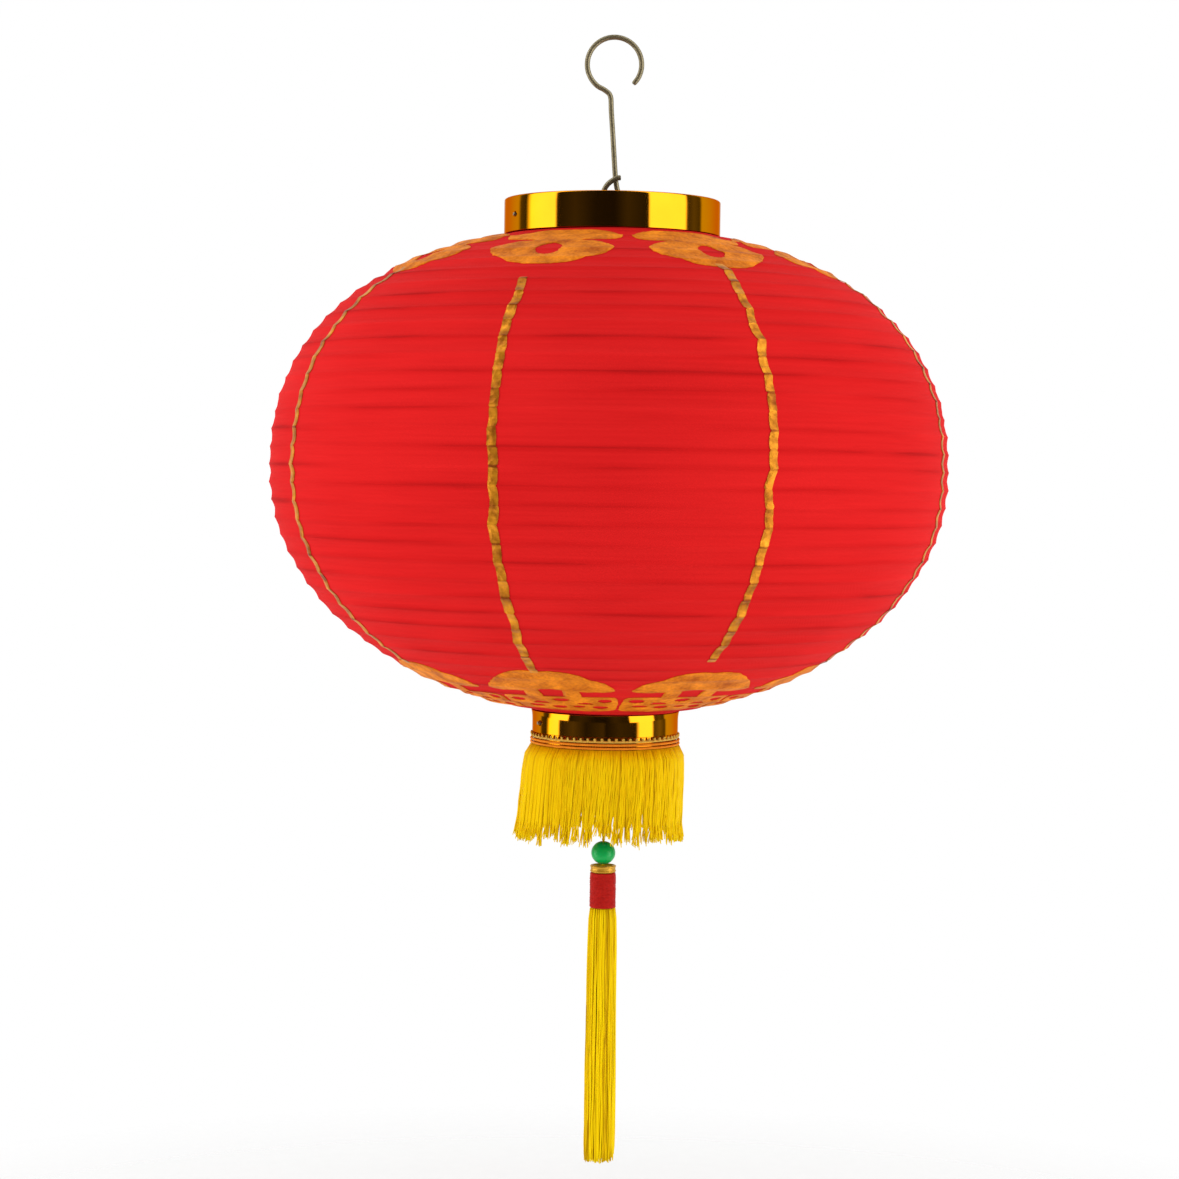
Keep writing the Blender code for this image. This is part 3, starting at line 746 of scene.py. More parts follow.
def beadOutline(radius, height, size, start, end, count):
    # part of a circle as outline points, angles in degrees
    spots = [math.radians(start + (end - start) * i / (count - 1)) for i in range(count)]
    return [(radius + size * math.cos(a), height + size * math.sin(a)) for a in spots]


def alongX(height):
    # lays what was turned about Z along X at this height
    return Matrix.Translation((0, 0, height)) @ Matrix.Rotation(math.pi / 2, 4, "Y")


def cutWireHoles(obj, height):
    # two holes along X, cut and applied
    reach = 0.1
    outline = [(cap["wireHole"], -reach), (cap["wireHole"], reach), (1e-5, reach), (1e-5, -reach)]
    cutter = buildMesh("hole_cutter", *lathe(outline, 32), obj.data.materials[0])
    cutter.data.transform(alongX(height))
    cut = obj.modifiers.new("wire_holes", "BOOLEAN")
    cut.solver = "EXACT"
    cut.object = cutter
    bpy.context.view_layer.update()
    made = bpy.data.meshes.new_from_object(obj.evaluated_get(bpy.context.evaluated_depsgraph_get()))
    obj.modifiers.clear()
    obj.data = made
    bpy.data.objects.remove(cutter)


def shadeByAngle(obj, degrees=35):
    # smooth faces with crisp edges where the surface turns sharply
    mesh = obj.data
    mesh.polygons.foreach_set("use_smooth", [True] * len(mesh.polygons))
    mesh.set_sharp_from_angle(angle=math.radians(degrees))


def crossWire(name, node, body):
    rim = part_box(node)[1].x - cap["frameProud"]
    reach = rim + cap["wireProud"]
    thick = cap["wireThick"] / 2
    inside = rim - cap["wall"] - cap["gap"]
    # the wire's end is a round nub; a crimped collar stands inside each wall
    nub = ((0.02 * mm, 0), (thick * 0.55, 0.05), (thick * 0.9, 0.3), (thick, 0.7))
    collar = ((0, 0), (0.55, 0.05), (0.7, 0.3), (0.7, 0.75), (0.45, 1.0), (0, 1.0))
    half = [(r, reach - back * mm) for r, back in nub]
    half += [(thick + out * mm, inside - back * mm) for out, back in collar]
    half += [(thick, reach * 0.33)]
    outline = half + [(r, -x) for r, x in reversed(half)]
    obj = buildMesh(name, *lathe(outline, 24), wireMaterial)
    obj.data.transform(alongX(midHeight(node)))
    shadeByAngle(obj, 50)
    finishPiece(obj, body, "bent_steel_wire", node)


def cardRing(name, node, body, outside):
    low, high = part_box(node)
    edge = cap["corner"]
    inside = outside - cap["ringWidth"]
    outline = [
        (inside, low.z + edge), (inside + edge, low.z), (outside - edge, low.z), (outside, low.z + edge),
        (outside, high.z - edge), (outside - edge, high.z), (inside + edge, high.z), (inside, high.z - edge),
    ]
    obj = buildMesh(name, *lathe(outline, 128), cardMaterial)
    shadeByAngle(obj)
    finishPiece(obj, body, "red_card", node)


def foilCap(name, node, body, outline, wireNode):
    obj = buildMesh(name, *lathe(outline, cap["sides"]), mirrorMaterial)
    cutWireHoles(obj, midHeight(wireNode))
    shadeByAngle(obj)
    finishPiece(obj, body, "gold_mirror_foil", node)


def makeTopCap():
    low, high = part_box("top_cap")
    radius = cloth["topRadius"]
    inside = radius - cap["wall"]
    bead, corner = cap["bead"], cap["corner"]
    outline = [(inside, low.z + 0.2 * mm), (inside + 0.2 * mm, low.z)]
    outline += [(radius - corner, low.z), (radius, low.z + corner)]
    outline += [(radius, low.z + (high.z - low.z) * part) for part in (0.25, 0.5, 0.75)]
    outline += beadOutline(radius - bead, high.z - bead, bead, 0, 200, 12)
    outline += [(inside, high.z - 2.2 * bead)]
    foilCap("upper_cap", "top_cap", "upper_frame", outline, "top_cross_wire")


def makeBottomCap():
    low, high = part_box("bottom_cap")
    radius = cloth["lowRadius"]
    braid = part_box("fringe_header")[1]
    shoulder = braid.z + cap["gap"]
    sleeve = braid.x - cap["braidThick"] - cap["gap"]
    inside = sleeve - cap["wall"]
    outline = [(inside, low.z + 0.2 * mm), (inside + 0.2 * mm, low.z), (sleeve, low.z), (sleeve, shoulder)]
    outline += [(radius - cap["flare"] - 0.2 * mm, shoulder), (radius - cap["flare"], shoulder + 0.2 * mm)]
    # straight below, flared out to its upper edge
    for part, out in cap["flareSteps"]:
        outline.append((radius - cap["flare"] * (1 - out), shoulder + (high.z - shoulder) * part))
    outline += [(radius, high.z - 0.25 * mm), (radius - 0.25 * mm, high.z), (radius - cap["wall"], high.z)]
    outline += [(radius - cap["wall"], shoulder + 1.2 * mm), (inside, shoulder)]
    foilCap("lower_cap", "bottom_cap", "lower_frame", outline, "bottom_cross_wire")


makeTopCap()
makeBottomCap()
cardRing("upper_card_ring", "top_end_ring", "upper_frame", cloth["topRadius"] - cap["wall"] - cap["gap"])
cardRing("lower_card_ring", "bottom_end_ring", "lower_frame", cloth["lowRadius"] - cap["wall"] - cap["gap"])
crossWire("upper_cross_wire", "top_cross_wire", "upper_frame")
crossWire("lower_cross_wire", "bottom_cross_wire", "lower_frame")
print("caps are on")

# Hook: one bent wire on the same route as the frame's
hook = {
    "wire": 2.3 * mm,
    "turn": -27.5,  # degrees about the upright
    "ringRadius": 12.0 * mm,
    "ringStart": -45,  # degrees, and the turn from there to the shank
    "ringTurn": 295,
    "hangLength": 79.2 * mm,
    "shankTop": -1.6 * mm,
    "shankEnd": 1.2 * mm,
    "shankBend": 2.6 * mm,
    "eyeLength": 20.9 * mm,
    "eyeRadius": 6.0 * mm,
    "gap": 0.3 * mm,
    "sides": 16,
}


def smoothRoute(points, pieces):
    # a smooth curve through the points, cut into pieces between each two
    points = [np.array(p, float) for p in points]
    ends = [2 * points[0] - points[1]] + points + [2 * points[-1] - points[-2]]
    found = []
    for before, first, second, after in zip(ends, ends[1:], ends[2:], ends[3:]):
        for i in range(pieces):
            t = i / pieces
            bend = 2 * before - 5 * first + 4 * second - after
            turn = 3 * first - before - 3 * second + after
            found.append(0.5 * (2 * first + (second - before) * t + bend * t**2 + turn * t**3))
    return found + [points[-1]]


def arcSpots(radius, height, start, turn, count):
    # points on an upright arc, angles in degrees
    angles = [math.radians(start + turn * i / (count - 1)) for i in range(count)]
    return [(radius * math.cos(a), 0, height + radius * math.sin(a)) for a in angles]


def hookRoute():
    wire, eye, ring = hook["wire"], hook["eyeRadius"], hook["ringRadius"]
    shankTop, shankEnd = hook["shankTop"], hook["shankEnd"]
    ringSpots = arcSpots(ring, -(ring - wire / 2), hook["ringStart"], hook["ringTurn"], 19)
    # the eye hangs clear of the cross wire, which it meets at a slant
    turned = math.radians(hook["turn"])
    apart = (wire + cap["wireThick"]) / 2 + hook["gap"]
    drop = math.sqrt((eye * math.cos(turned)) ** 2 - (apart / math.tan(abs(turned))) ** 2)
    centre = -hook["hangLength"] + drop
    high = centre - eye + hook["eyeLength"]
    shankHigh = ringSpots[-1][2] - hook["shankBend"]
    shank = [
        (shankTop, 0, shankHigh), ((shankTop + shankEnd) / 2, 0, (high + shankHigh) / 2),
        (shankEnd, 0, high), (eye * 0.45, 0, centre + eye * 1.3),
    ]
    eyeSpots = arcSpots(eye, centre, 10, -200, 14)
    front = -(wire + hook["gap"])
    closing = [
        (-eye * 0.82, 0, centre + eye * 1.25),
        (-eye * 0.42, -wire * 0.7, high - wire * 1.2),
        (shankEnd, front, high),
        (shankEnd + wire, front, high + wire * 0.2),
    ]
    return ringSpots + smoothRoute(shank, 3) + eyeSpots + smoothRoute(closing, 3)


def makeHook():
    route = np.array(smoothRoute(hookRoute(), 4))
    # the cut ends are dressed round
    radius = np.full(len(route), hook["wire"] / 2)
    radius[[0, -1]] *= 0.72
    points, faces = tubes(route[None], radius[None], hook["sides"], ref=(0, 1, 0))
    obj = buildMesh("hook_wire", points, faces, wireMaterial)
    obj.data.transform(Matrix.Rotation(math.radians(hook["turn"]), 4, "Z"))
    shadeByAngle(obj, 60)
    finishPiece(obj, "hook", "bent_steel_wire", "hanging_hook")


makeHook()
print("hook is bent")

# Trim: looped braid, two twisted cords and the fringe, wound on the lower cap's sleeve
trim = {
    "loops": 66,
    "loopCord": 0.36 * mm,
    "loopInset": 0.55 * mm,
    "loopRoll": 0.22 * mm,
    "loopSwing": 1.0 * mm,
    "loopRise": 0.72 * mm,
    "footHeight": 0.75 * mm,
    "strand": 0.35 * mm,
    "strandOut": 0.26 * mm,
    "twist": 2.3 * mm,
    "threads": 1040,
    "steps": 14,
    "threadRadius": 0.27 * mm,
    "rootInset": 3.8 * mm,  # the yarns start this far in from the skirt's outside
    "clumps": 96,
    "gather": (0.03, 0.42),
    "drift": 2.5 * mm,  # the whole fringe hangs a little to one side at its foot
    "sideways": 0.8 * mm,
    "swell": 3.9 * mm,  # how far the yarns stand out from their root at their foot
    "swellSteps": ([0, 0.05, 0.14, 0.4, 1], [0, 0.45, 0.74, 0.86, 1]),
    "frontCut": 1.6 * mm,  # the fringe is cut this much shorter towards the front
    "notch": 2.6 * mm,  # and this much more over the bead
    "notchHalfAngle": 0.13,
    "bandHeight": 9 * mm,
    "seed": 33,
}
# Mercerised cotton braid: pale gold, each loop catching the light
braidMaterial = patchyMaterial(
    "mercerised cotton braid", "#B08420", "#E8C45A", 1.6 * mm, 2.0, 0.1 * mm,
    Roughness=0.5, IOR=1.53, Specular_IOR_Level=0.2,
)

# Rayon gimp cord: an orange gold with a silky shine along its twist
gimpMaterial = patchyMaterial(
    "twisted rayon gimp cord", "#C87414", "#FFA026", 2.2 * mm, 3.0, 0.12 * mm,
    Roughness=0.45, IOR=1.52, Specular_IOR_Level=0.1,
)


def threadMaterial(name, dark, middle, light):
    # spun rayon yarn: bright yellow with a silky sheen; shade sets each thread apart
    material, tree, shader = newMaterial(name, Roughness=0.6, IOR=1.52, Specular_IOR_Level=0.05)
    place = addNode(tree, "TexCoord").outputs["Object"]
    own = addNode(tree, "Attribute", attribute_name="shade").outputs["Fac"]
    long = addNode(tree, "Mapping", {"Vector": place, "Scale": (1, 1, 0.12)}).outputs[0]
    streaks = addNode(tree, "TexNoise", {"Vector": long, "Scale": 1 / (1.5 * mm), "Detail": 2.0})
    share = addNode(tree, "Math", {0: streaks.outputs[0], 1: 0.5, 2: -0.25}, operation="MULTIPLY_ADD")
    share = addNode(tree, "Math", {0: share.outputs[0], 1: own}, operation="ADD").outputs[0]
    tree.links.new(blendColors(tree, share, dark, light, (0.45, middle)), shader.inputs["Base Color"])
    addBump(tree, shader, streaks.outputs[0], 0.06 * mm)
    return material


fringeYarn = threadMaterial("yellow rayon fringe yarn", "#B88A02", "#EEC602", "#FADC06")


def twistedRing(radius, height):
    # two strands laid round each other in a ring
    turns = round(tau * radius / trim["twist"])
    angle = np.arange(turns * 9) * tau / (turns * 9)
    strands = []
    for start in (0, math.pi):
        phase = angle * turns + start
        out, up = trim["strandOut"] * np.cos(phase), trim["strandOut"] * np.sin(phase)
        strands.append(turnedSpots(angle, radius + out, height + up))
    return tubes(np.array(strands), trim["strand"], 7, ref=(0, 0, 1), closed=True)


def makeBraid():
    low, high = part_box("fringe_header")
    outside = high.x
    inside = outside - cap["braidThick"]
    # a flat woven foot, with the looped cord standing on it
    top = low.z + trim["footHeight"]
    foot = [
        (inside, low.z), (outside - 0.75 * mm, low.z), (outside - 0.55 * mm, low.z + 0.2 * mm),
        (outside - 0.55 * mm, top), (outside - 0.8 * mm, top + 0.2 * mm), (inside, top + 0.25 * mm),
    ]
    count = trim["loops"] * 16
    angle = np.arange(count) * tau / count
    phase = angle * trim["loops"]
    middle = (low.z + high.z) / 2 + 0.05 * mm
    loops = turnedSpots(
        angle - trim["loopSwing"] / outside * np.sin(phase),
        outside - trim["loopInset"] + trim["loopRoll"] * np.cos(phase + 0.8),
        middle + trim["loopRise"] * np.cos(phase),
    )
    looped = tubes(loops[None], trim["loopCord"], 7, ref=(0, 0, 1), closed=True)
    obj = buildMesh("looped_braid", *joinParts([lathe(foot, 160), looped]), braidMaterial)
    finishPiece(obj, "lower_frame", "pale_gold_braid", "fringe_header")
    for name, node in (("upper_twisted_cord", "gimp_cord_upper"), ("lower_twisted_cord", "gimp_cord_lower")):
        low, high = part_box(node)
        radius = inside + (high.z - low.z) / 2 + 0.03 * mm
        obj = buildMesh(name, *twistedRing(radius, (low.z + high.z) / 2), gimpMaterial)
        finishPiece(obj, "lower_frame", "orange_gold_cord", node)


def nearEnd(down, start):
    # 0 as far as start, then rising to 1 at the thread's end
    return np.clip(down - start, 0, 1) / (1 - start)


def threadWaves(random, down, count, sizes, paces):
    # each thread's own small wave, sizes in millimetres
    size = random.uniform(*sizes, (count, 1)) * mm
    pace = random.uniform(*paces, (count, 1))
    return size * np.sin(down * pace + random.uniform(0, tau, (count, 1)))


def threadShades(random, base, spread, count, darkShare):
    # each thread has its own tone; a few are darkened as painted shade, as if lying deep in the bundle
    shade = np.clip(base + random.normal(0, spread, count), 0, 1)
    return np.where(random.random(count) < darkShare, shade * 0.35, shade)


def makeFringe():
    random = np.random.default_rng(trim["seed"])
    low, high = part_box("fringe_skirt")
    root = high.x - trim["rootInset"]
    whole = high.z - low.z
    count, steps, clumps = trim["threads"], trim["steps"], trim["clumps"]
    at = (np.arange(count) + random.uniform(-0.3, 0.3, count)) / count
    clump = np.floor(at * clumps + random.normal(0, 0.12, count)).astype(int) % clumps
    clumpAt = (clump + 0.5) / clumps
    gather = random.uniform(*trim["gather"], clumps)[clump]
    clumpDrop = random.normal(0, 0.8 * mm, clumps)[clump]
    shortClump = (random.random(clumps) < 0.1)[clump]
    length = whole - 1.6 * mm + clumpDrop + random.normal(0, 0.65 * mm, count)
    length -= np.where(shortClump, random.uniform(2, 6, clumps)[clump] * mm, 0)
    ahead = (tau * clumpAt - math.atan2(toCamera.y, toCamera.x) + math.pi) % tau - math.pi
    length -= trim["frontCut"] * np.maximum(0, np.cos(ahead))
    length -= trim["notch"] * (np.abs(ahead) < trim["notchHalfAngle"])
    length = np.minimum(length, whole)
    down = np.linspace(0, 1, steps)[None] ** 0.85
    # yarns gather towards the middle of their clump near the foot
    apart = (at - clumpAt + 0.5) % 1 - 0.5
    angle = tau * (at[:, None] - apart[:, None] * (gather[:, None] * down**6))
    lean = random.normal(0, trim["sideways"], clumps)[clump][:, None] * down**2.2
    curl = random.normal(0, 0.9 * mm, (count, 1)) * nearEnd(down, 0.8)
    ripple = threadWaves(random, down, count, (0.05, 0.2), (9, 22))
    layer = np.where(np.arange(count) % 2 == 0, 0.0, -0.55 * mm)[:, None]
    out = root + trim["swell"] * np.interp(down, *trim["swellSteps"])
    billow = 0.45 * mm * np.sin(clump * 1.7)[:, None] * down
    outCurl = random.normal(0.2, 0.7, (count, 1)) * mm * nearEnd(down, 0.82)
    radius = out + layer + billow + outCurl + ripple * 0.6
    angle = angle + (lean + curl + ripple) / radius
    height = high.z - length[:, None] * down
    paths = turnedSpots(angle, radius, height) - np.array(toRight) * (trim["drift"] * down**1.1)[..., None]
    thick = trim["threadRadius"] * random.uniform(0.85, 1.2, (count, 1)) * (1 - 0.35 * nearEnd(down, 0.93))
    clumpShade = random.normal(0, 0.05, clumps)[clump]
    shade = threadShades(random, 0.58 + clumpShade, 0.11, count, 0.035)
    # the yarns are sewn to a band that shows between them near the top
    bandFoot = high.z - trim["bandHeight"]
    band = lathe([
        (root - 0.75 * mm, high.z), (root - 0.75 * mm, bandFoot), (root - 0.1 * mm, bandFoot),
        (root + 0.1 * mm, high.z - 4 * mm), (root + 0.15 * mm, high.z),
    ], 120)
    # the band is darker than the yarns: painted shade in the gaps between them
    shades = np.concatenate([np.repeat(shade, steps * 5), np.full(len(band[0]), 0.3)])
    parts = joinParts([tubes(paths, thick, 5), band])
    obj = buildMesh("yarn_fringe", *parts, fringeYarn, shades=shades)
    finishPiece(obj, "lower_frame", "yellow_rayon_thread", "fringe_skirt")


makeBraid()
makeFringe()
print("fringe is sewn on")

# Tassel: a loop over the lower wire, a knot, a cord with a bead, a wound head and threads
tassel = {
    "cord": 1.5 * mm,
    "strand": 0.42 * mm,
    "strandOut": 0.34 * mm,
    "twist": 3.0 * mm,
    "cordLength": 48.9 * mm,
    "loopLeg": 1.05 * mm,  # half the distance between the loop's two legs
    "knotStrand": 0.72 * mm,
    "knotSize": 0.5 * mm,
    "knotRise": 1.25 * mm,
    "beadHole": 0.95 * mm,
    "bandInside": 4.6 * mm,
    "bandRoll": 0.4 * mm,
    "wrapThread": 0.3 * mm,
    "wrapRadius": 5.6 * mm,
    "threads": 420,
    "steps": 26,
    "threadRadius": 0.3 * mm,
    "swellSteps": ([0, 0.04, 0.15, 0.65, 0.93, 1], [5.4, 6.0, 6.4, 6.75, 6.7, 6.4]),  # radius in mm
    "ragged": 3.2 * mm,
    "gap": 0.3 * mm,
    "seed": 47,
}
cordYarn = threadMaterial("yellow twisted rayon cord", "#A87C02", "#E0B404", "#F2CE0C")
tasselYarn = threadMaterial("yellow rayon tassel yarn", "#B48602", "#F2CC02", "#FCE008")
# Moulded and tumbled polystyrene bead: clear bright green, glossy
beadMaterial = patchyMaterial(
    "tumbled green polystyrene", "#00A048", "#00B454", 5 * mm, 3.0, 0.03 * mm, swirl=1.5,
    Roughness=0.28, IOR=1.59, Specular_IOR_Level=0.25,
)
# Rolled gold foil ring: duller and softer than the caps
bandMaterial = patchyMaterial(
    "rolled gold foil band", "#BE9020", "#E8AE3A", 1.8 * mm, 2.0, 0.2 * mm,
    Roughness=0.42, Metallic=0.55,
)
# Red polyester sewing thread, wound tight in many turns
woundMaterial = patchyMaterial(
    "wound red polyester thread", "#981210", "#D2261E", 1.4 * mm, 3.0, 0.08 * mm,
    Roughness=0.45, IOR=1.5, Specular_IOR_Level=0.1,
)


def twistedCord(line):
    # two strands laid round each other along a line of points
    line = np.array(line)
    along = unit(np.gradient(line, axis=0))
    first = unit(np.cross(along, (1.0, 0.0, 0.0)))
    second = np.cross(along, first)
    gone = np.concatenate([[0], np.cumsum(np.linalg.norm(np.diff(line, axis=0), axis=1))])
    strands = []
    for start in (0, math.pi):
        phase = (gone / tassel["twist"] * tau + start)[:, None]
        strands.append(line + tassel["strandOut"] * (first * np.cos(phase) + second * np.sin(phase)))
    return tubes(np.array(strands), tassel["strand"], 8)


def makeTasselHanger():
    low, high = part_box("tassel_loop")
    wireHeight = midHeight("bottom_cross_wire")
    turn = high.z - wireHeight - tassel["cord"] / 2
    leg, rise = tassel["loopLeg"], wireHeight - low.z
    # up one leg, out to the wire's width, over the wire and down the other leg
    line = [(0, -leg, low.z + rise * part) for part in np.linspace(0, 0.55, 8)]
    line += [(0, -leg - (turn - leg) * part, low.z + rise * (0.55 + 0.45 * part)) for part in (0.35, 0.7)]
    line += [(0, -turn * math.cos(a), wireHeight + turn * math.sin(a)) for a in np.linspace(0, math.pi, 13)]
    line += [(0, -y, z) for _, y, z in reversed(line[:10])]
    points, faces = twistedCord(smoothRoute(line, 3))
    obj = buildMesh("hanging_loop", points, faces, cordYarn, shades=np.full(len(points), 0.5))
    finishPiece(obj, "tassel_hanger", "yellow_twisted_cord", "tassel_loop")

    # an overhand knot, drawn tight: a cord laid over itself in a small trefoil with a core
    low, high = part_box("tassel_knot")
    middle = (low.z + high.z) / 2
    a = np.arange(90) * tau / 90
    trefoil = np.stack([
        (np.sin(a) + 2 * np.sin(2 * a)) * tassel["knotSize"],
        (np.cos(a) - 2 * np.cos(2 * a)) * tassel["knotSize"],
        middle - np.sin(3 * a) * tassel["knotRise"],
    ], axis=1)
    laid = tubes(trefoil[None], tassel["knotStrand"], 8, ref=(0.02, 0.01, 1), closed=True)
    thin = 0.02 * mm
    core = [(thin, low.z), (0.8 * mm, low.z), (1.3 * mm, middle), (0.9 * mm, high.z), (thin, high.z)]
    points, faces = joinParts([laid, lathe(core, 20)])
    obj = buildMesh("tied_knot", points, faces, cordYarn, shades=np.full(len(points), 0.45))
    finishPiece(obj, "tassel_hanger", "yellow_twisted_cord", "tassel_knot")


def makeBead():
    low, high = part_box("tassel_bead")
    middle, half, radius = (low.z + high.z) / 2, (high.z - low.z) / 2 + 0.1 * mm, high.x
    hole = tassel["beadHole"]
    start = math.asin(hole / radius) + 0.1
    turn = np.linspace(start, math.pi - start, 30)
    outline = [(radius * math.sin(a), middle + half * math.cos(a)) for a in turn]
    # the hole's edges are dished
    outline = [(hole, outline[0][1] - 0.35 * mm)] + outline + [(hole, outline[-1][1] + 0.35 * mm)]
    obj = buildMesh("green_bead", *lathe(outline, 48), beadMaterial)
    return finishPiece(obj, "bead", "green_plastic_bead", "tassel_bead")


def makeBand():
    low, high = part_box("tassel_gold_band")
    radius, inside, roll = high.x, tassel["bandInside"], tassel["bandRoll"]
    outline = [(inside, low.z), (radius - 0.3 * mm, low.z)]
    outline += beadOutline(radius - roll, low.z + 0.45 * mm, roll, -80, 60, 6)
    outline += [(radius - 0.25 * mm, (low.z + high.z) / 2)]
    outline += beadOutline(radius - roll, high.z - 0.45 * mm, roll, -60, 80, 6)
    outline += [(radius - 0.3 * mm, high.z), (inside, high.z)]
    obj = buildMesh("gold_band", *lathe(outline, 64), bandMaterial)
    return finishPiece(obj, "tassel", "gold_foil_band", "tassel_gold_band")


def makeWoundHead():
    low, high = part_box("tassel_wrap")
    random = np.random.default_rng(tassel["seed"])
    thread, radius, inside = tassel["wrapThread"], tassel["wrapRadius"], tassel["bandInside"]
    run = high.z - low.z - 2 * thread
    turns = int(run / (thread * 1.9))
    angle = np.linspace(0, turns * tau, turns * 28)
    height = high.z - thread - run * angle / angle[-1]
    knots = np.arange(0, len(angle), 9)
    wobble = np.interp(np.arange(len(angle)), knots, random.normal(0, 0.05, len(knots))) * mm
    helix = turnedSpots(angle, radius + wobble, height + wobble * 0.8)
    core = [(inside, low.z), (radius, low.z + 0.1 * mm), (radius, high.z - 0.1 * mm), (inside, high.z)]
    parts = joinParts([tubes(helix[None], thread, 7, ref=(0, 0, 1)), lathe(core, 48)])
    obj = buildMesh("red_wound_head", *parts, woundMaterial)
    return finishPiece(obj, "tassel", "red_wound_thread", "tassel_wrap")


def makeTasselCord(*pieces):
    low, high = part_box("tassel_cord")
    line = [(0, 0, high.z + (low.z - high.z) * i / 95) for i in range(96)]
    points, faces = twistedCord(line)
    obj = buildMesh("hanging_cord", points, faces, cordYarn, shades=np.full(len(points), 0.5))
    finishPiece(obj, "tassel", "yellow_twisted_cord", "tassel_cord")


def makeTasselThreads():
    random = np.random.default_rng(tassel["seed"] + 1)
    low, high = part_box("tassel_skirt")
    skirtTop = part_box("tassel_wrap")[0].z - tassel["gap"]
    whole = skirtTop - low.z
    count, steps = tassel["threads"], tassel["steps"]
    place = np.sqrt(random.uniform(0.25, 1, count))
    start = random.uniform(0, tau, count)
    # most ends are ragged, and nearly a third come close to the full length
    length = whole - np.abs(random.normal(0, tassel["ragged"], count)) - 0.2 * mm
    length = np.where(random.random(count) < 0.3, whole - random.uniform(0, 1.5, count) * mm, length)
    down = np.linspace(0, 1, steps)[None]
    swell = np.interp(down, *tassel["swellSteps"]) * mm
    wave = threadWaves(random, down, count, (0.1, 0.35), (5, 16))
    angle = start[:, None] + random.normal(0, 0.16, (count, 1)) * down + wave / (5 * mm)
    radius = swell * place[:, None] + wave * 0.5
    # a few strays stand out at the foot
    stray = np.where(random.random((count, 1)) < 0.06, random.uniform(0.3, 1.1, (count, 1)), 0) * mm
    height = skirtTop - length[:, None] * down
    paths = turnedSpots(angle, radius + stray * nearEnd(down, 0.75), height)
    thick = tassel["threadRadius"] * random.uniform(0.85, 1.2, (count, 1)) * (1 - 0.3 * nearEnd(down, 0.97))
    shade = threadShades(random, 0.56, 0.17, count, 0.06)
    thin, coreFoot = 0.02 * mm, low.z + 9 * mm
    core = lathe([
        (thin, coreFoot), (3.2 * mm, coreFoot), (3.6 * mm, skirtTop), (4.2 * mm, skirtTop + 0.3 * mm),
        (4.2 * mm, high.z), (thin, high.z),
    ], 40)
    # the core is darker than the threads round it: painted shade deep inside the bundle
    shades = np.concatenate([np.repeat(shade, steps * 5), np.full(len(core[0]), 0.2)])
    parts = joinParts([tubes(paths, thick, 5), core])
    obj = buildMesh("tassel_threads", *parts, tasselYarn, shades=shades)
    finishPiece(obj, "tassel", "yellow_rayon_thread", "tassel_skirt")


makeTasselHanger()
makeTasselCord(makeBead(), makeBand(), makeWoundHead())
makeTasselThreads()
print("tassel hangs")

# Studio: white room, big soft lights left and right, pale floor well below
studio = {
    "floorHeight": -620 * mm,
    "floorRadius": 1.5,
    "clearFrom": 0.28,  # the floor fades out between these distances from the lantern's axis
    "clearTo": 0.62,
    "ambient": 0.845,
    "sideLight": 6.6,
    "sideSize": (0.7, 1.0),
    "sideReach": 1.25,
    "sideAhead": 0.45,
    "topLight": 0.6,
    "topSize": (0.9, 0.9),
    "topAhead": 0.7,
    "topRise": 1.2,
    "lightAim": Vector((0, 0, -190 * mm)),
    # what shiny pieces see round the room: (degrees from the camera's side, brightness).
    # The softboxes are wide above the horizon and well below it, and narrow just under it
    "wideBands": [
        (-180, 0.8), (-119, 0.8), (-114, 0.12), (-104, 0.05), (-101, 0.9), (-96, 3.1), (-63, 3.1),
        (-61, 0.02), (-40, 0.05), (-18, 0.015), (2, 0.012), (16, 0.05), (38, 0.02), (40, 3.1), (83, 3.1),
        (86, 0.06), (96, 0.14), (106, 0.08), (110, 0.8), (180, 0.8),
    ],
    "narrowBands": [
        (-180, 0.8), (-125, 0.8), (-119, 0.1), (-107, 0.05), (-103, 0.9), (-99, 3.1), (-80, 3.1),
        (-76, 0.03), (-52, 0.1), (-30, 0.02), (-3, 0.06), (1, 0.015), (24, 0.05), (50, 0.03), (56, 3.1),
        (79, 3.1), (83, 0.1), (96, 0.24), (108, 0.1), (113, 0.8), (180, 0.8),
    ],
    "narrowAt": (-0.1, 0.125),  # middle and half height of the narrow part, as a direction's own Z
}


def bandRamp(tree, share, stops):
    node = addNode(tree, "ValToRGB", {"Fac": share})
    ramp = node.color_ramp
    while len(ramp.elements) > 1:
        ramp.elements.remove(ramp.elements[-1])
    ramp.elements[0].position = 0
    ramp.elements[0].color = (stops[0][1],) * 3 + (1,)
    for degrees, level in stops[1:]:
        ramp.elements.new((degrees + 180) / 360).color = (level,) * 3 + (1,)
    return node.outputs["Color"]


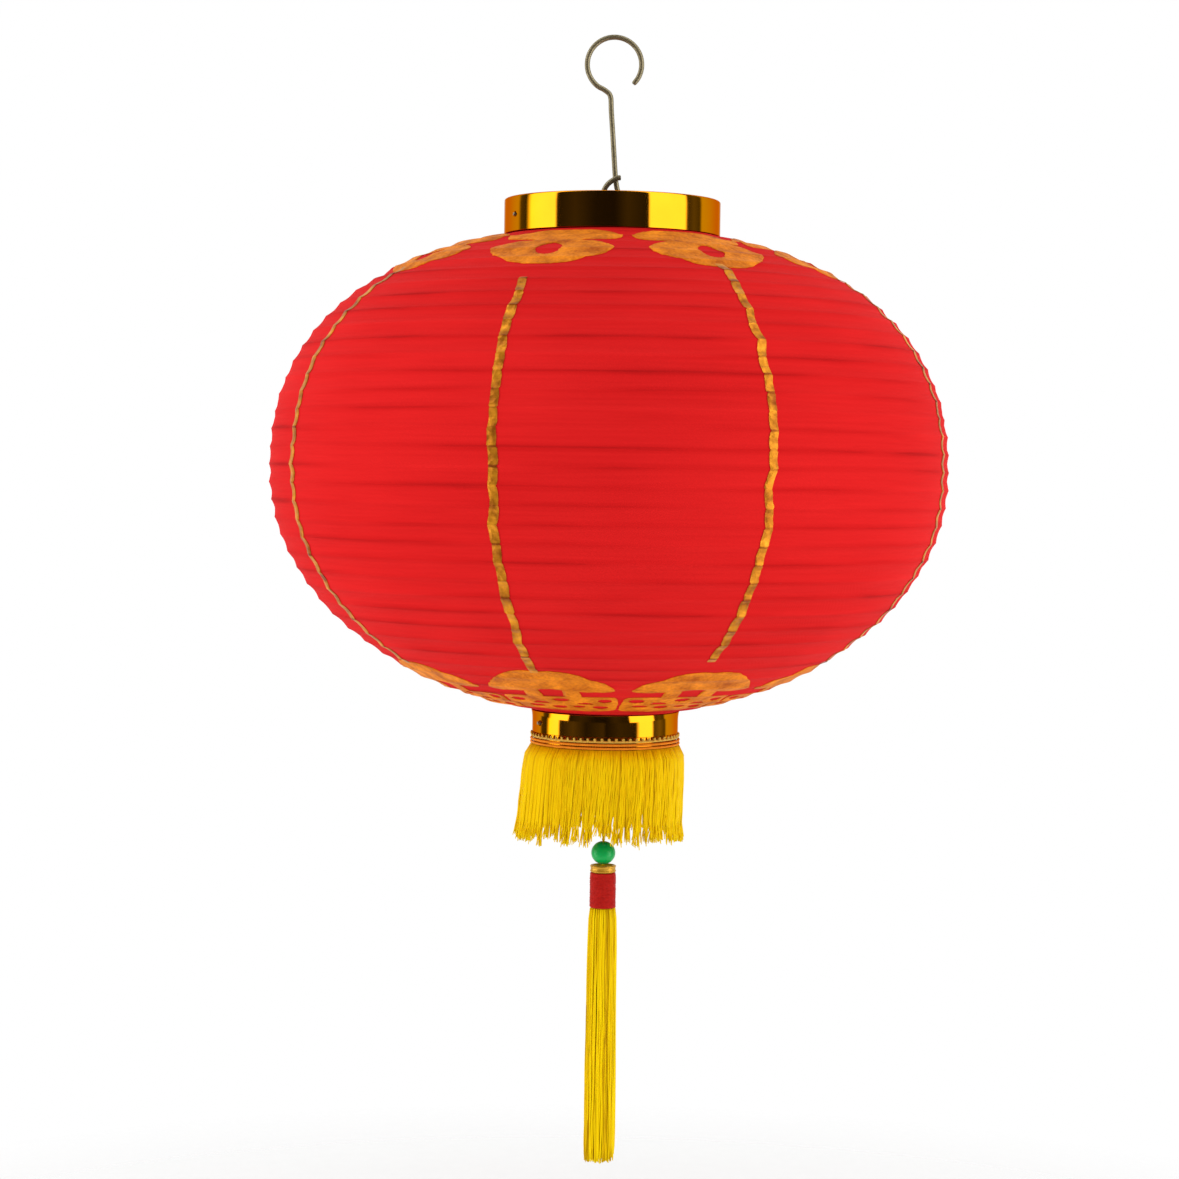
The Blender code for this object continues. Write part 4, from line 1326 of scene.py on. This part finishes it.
def makeWorld():
    # directions are fixed in the room: shiny pieces see soft boxes either side and a dark room between them
    world = bpy.data.worlds.new("studio")
    bpy.context.scene.world = world
    world.use_nodes = True
    tree = world.node_tree
    tree.nodes.clear()
    place = addNode(tree, "TexCoord").outputs["Generated"]
    height = addNode(tree, "SeparateXYZ", {0: place}).outputs["Z"]
    turn = Matrix.Rotation(-math.atan2(toCamera.y, toCamera.x), 3, "Z")
    ahead = addNode(tree, "VectorMath", {0: place, 1: turn[0]}, operation="DOT_PRODUCT").outputs["Value"]
    aside = addNode(tree, "VectorMath", {0: place, 1: turn[1]}, operation="DOT_PRODUCT").outputs["Value"]
    bearing = addNode(tree, "Math", {0: aside, 1: ahead}, operation="ARCTAN2").outputs[0]
    share = addNode(tree, "Math", {0: bearing, 1: 1 / tau, 2: 0.5}, operation="MULTIPLY_ADD").outputs[0]
    wide = bandRamp(tree, share, studio["wideBands"])
    narrow = bandRamp(tree, share, studio["narrowBands"])
    middle, halfHeight = studio["narrowAt"]
    low = addNode(tree, "Math", {0: height, 1: middle, 2: halfHeight}, operation="COMPARE").outputs[0]
    bands = addNode(tree, "Mix", {0: low, 6: wide, 7: narrow}, data_type="RGBA").outputs[2]
    rays = addNode(tree, "LightPath").outputs
    white = (1, 1, 1, 1)
    plain = addNode(tree, "Background", {"Color": white, "Strength": studio["ambient"]}).outputs[0]
    shiny = addNode(tree, "Background", {"Color": bands, "Strength": 1.0}).outputs[0]
    bare = addNode(tree, "Background", {"Color": white, "Strength": 1.0}).outputs[0]
    lit = addNode(tree, "MixShader", {0: rays["Is Glossy Ray"], 1: plain, 2: shiny}).outputs[0]
    seen = addNode(tree, "MixShader", {0: rays["Is Camera Ray"], 1: lit, 2: bare}).outputs[0]
    addNode(tree, "OutputWorld", {"Surface": seen})


def addLight(name, spot, size, power):
    light = bpy.data.lights.new(name, "AREA")
    light.shape = "RECTANGLE"
    light.size, light.size_y = size
    light.energy = power
    obj = bpy.data.objects.new(name, light)
    obj.location = spot
    obj.rotation_mode = "QUATERNION"
    obj.rotation_quaternion = (studio["lightAim"] - spot).to_track_quat("-Z", "Y")
    obj.visible_glossy = False
    obj.visible_camera = False
    bpy.context.scene.collection.objects.link(obj)


def makeLights():
    aim = studio["lightAim"]
    for side, name in ((-1, "left_light"), (1, "right_light")):
        spot = aim + toCamera * studio["sideAhead"] + toRight * side * studio["sideReach"]
        addLight(name, spot, studio["sideSize"], studio["sideLight"])
    above = aim + toCamera * studio["topAhead"] + Vector((0, 0, studio["topRise"]))
    addLight("top_light", above, studio["topSize"], studio["topLight"])


def makeFloor():
    # Matt white painted board: a pale even ground that thins to nothing towards its rim
    material, tree, shader = newMaterial("matt white painted board", Roughness=0.9)
    place = addNode(tree, "TexCoord").outputs["Object"]
    grain = addNode(tree, "TexNoise", {"Vector": place, "Scale": 90.0, "Detail": 2.0})
    tree.links.new(blendColors(tree, grain.outputs[0], "#F4F4F3", "#FAFAF9"), shader.inputs["Base Color"])
    flat = addNode(tree, "VectorMath", {0: place, 1: (1, 1, 0)}, operation="MULTIPLY")
    out = addNode(tree, "VectorMath", {0: flat.outputs[0]}, operation="LENGTH")
    fade = addNode(tree, "MapRange", {
        "Value": out.outputs["Value"], "From Min": studio["clearFrom"], "From Max": studio["clearTo"],
        "To Min": 1.0, "To Max": 0.0,
    })
    tree.links.new(fade.outputs[0], shader.inputs["Alpha"])
    turn = np.arange(96) * tau / 96
    rim = turnedSpots(turn, studio["floorRadius"], studio["floorHeight"])
    buildMesh("floor", rim, [list(range(96))], material, smooth=False, closed=False)


makeWorld()
makeLights()
makeFloor()
print("studio is lit")
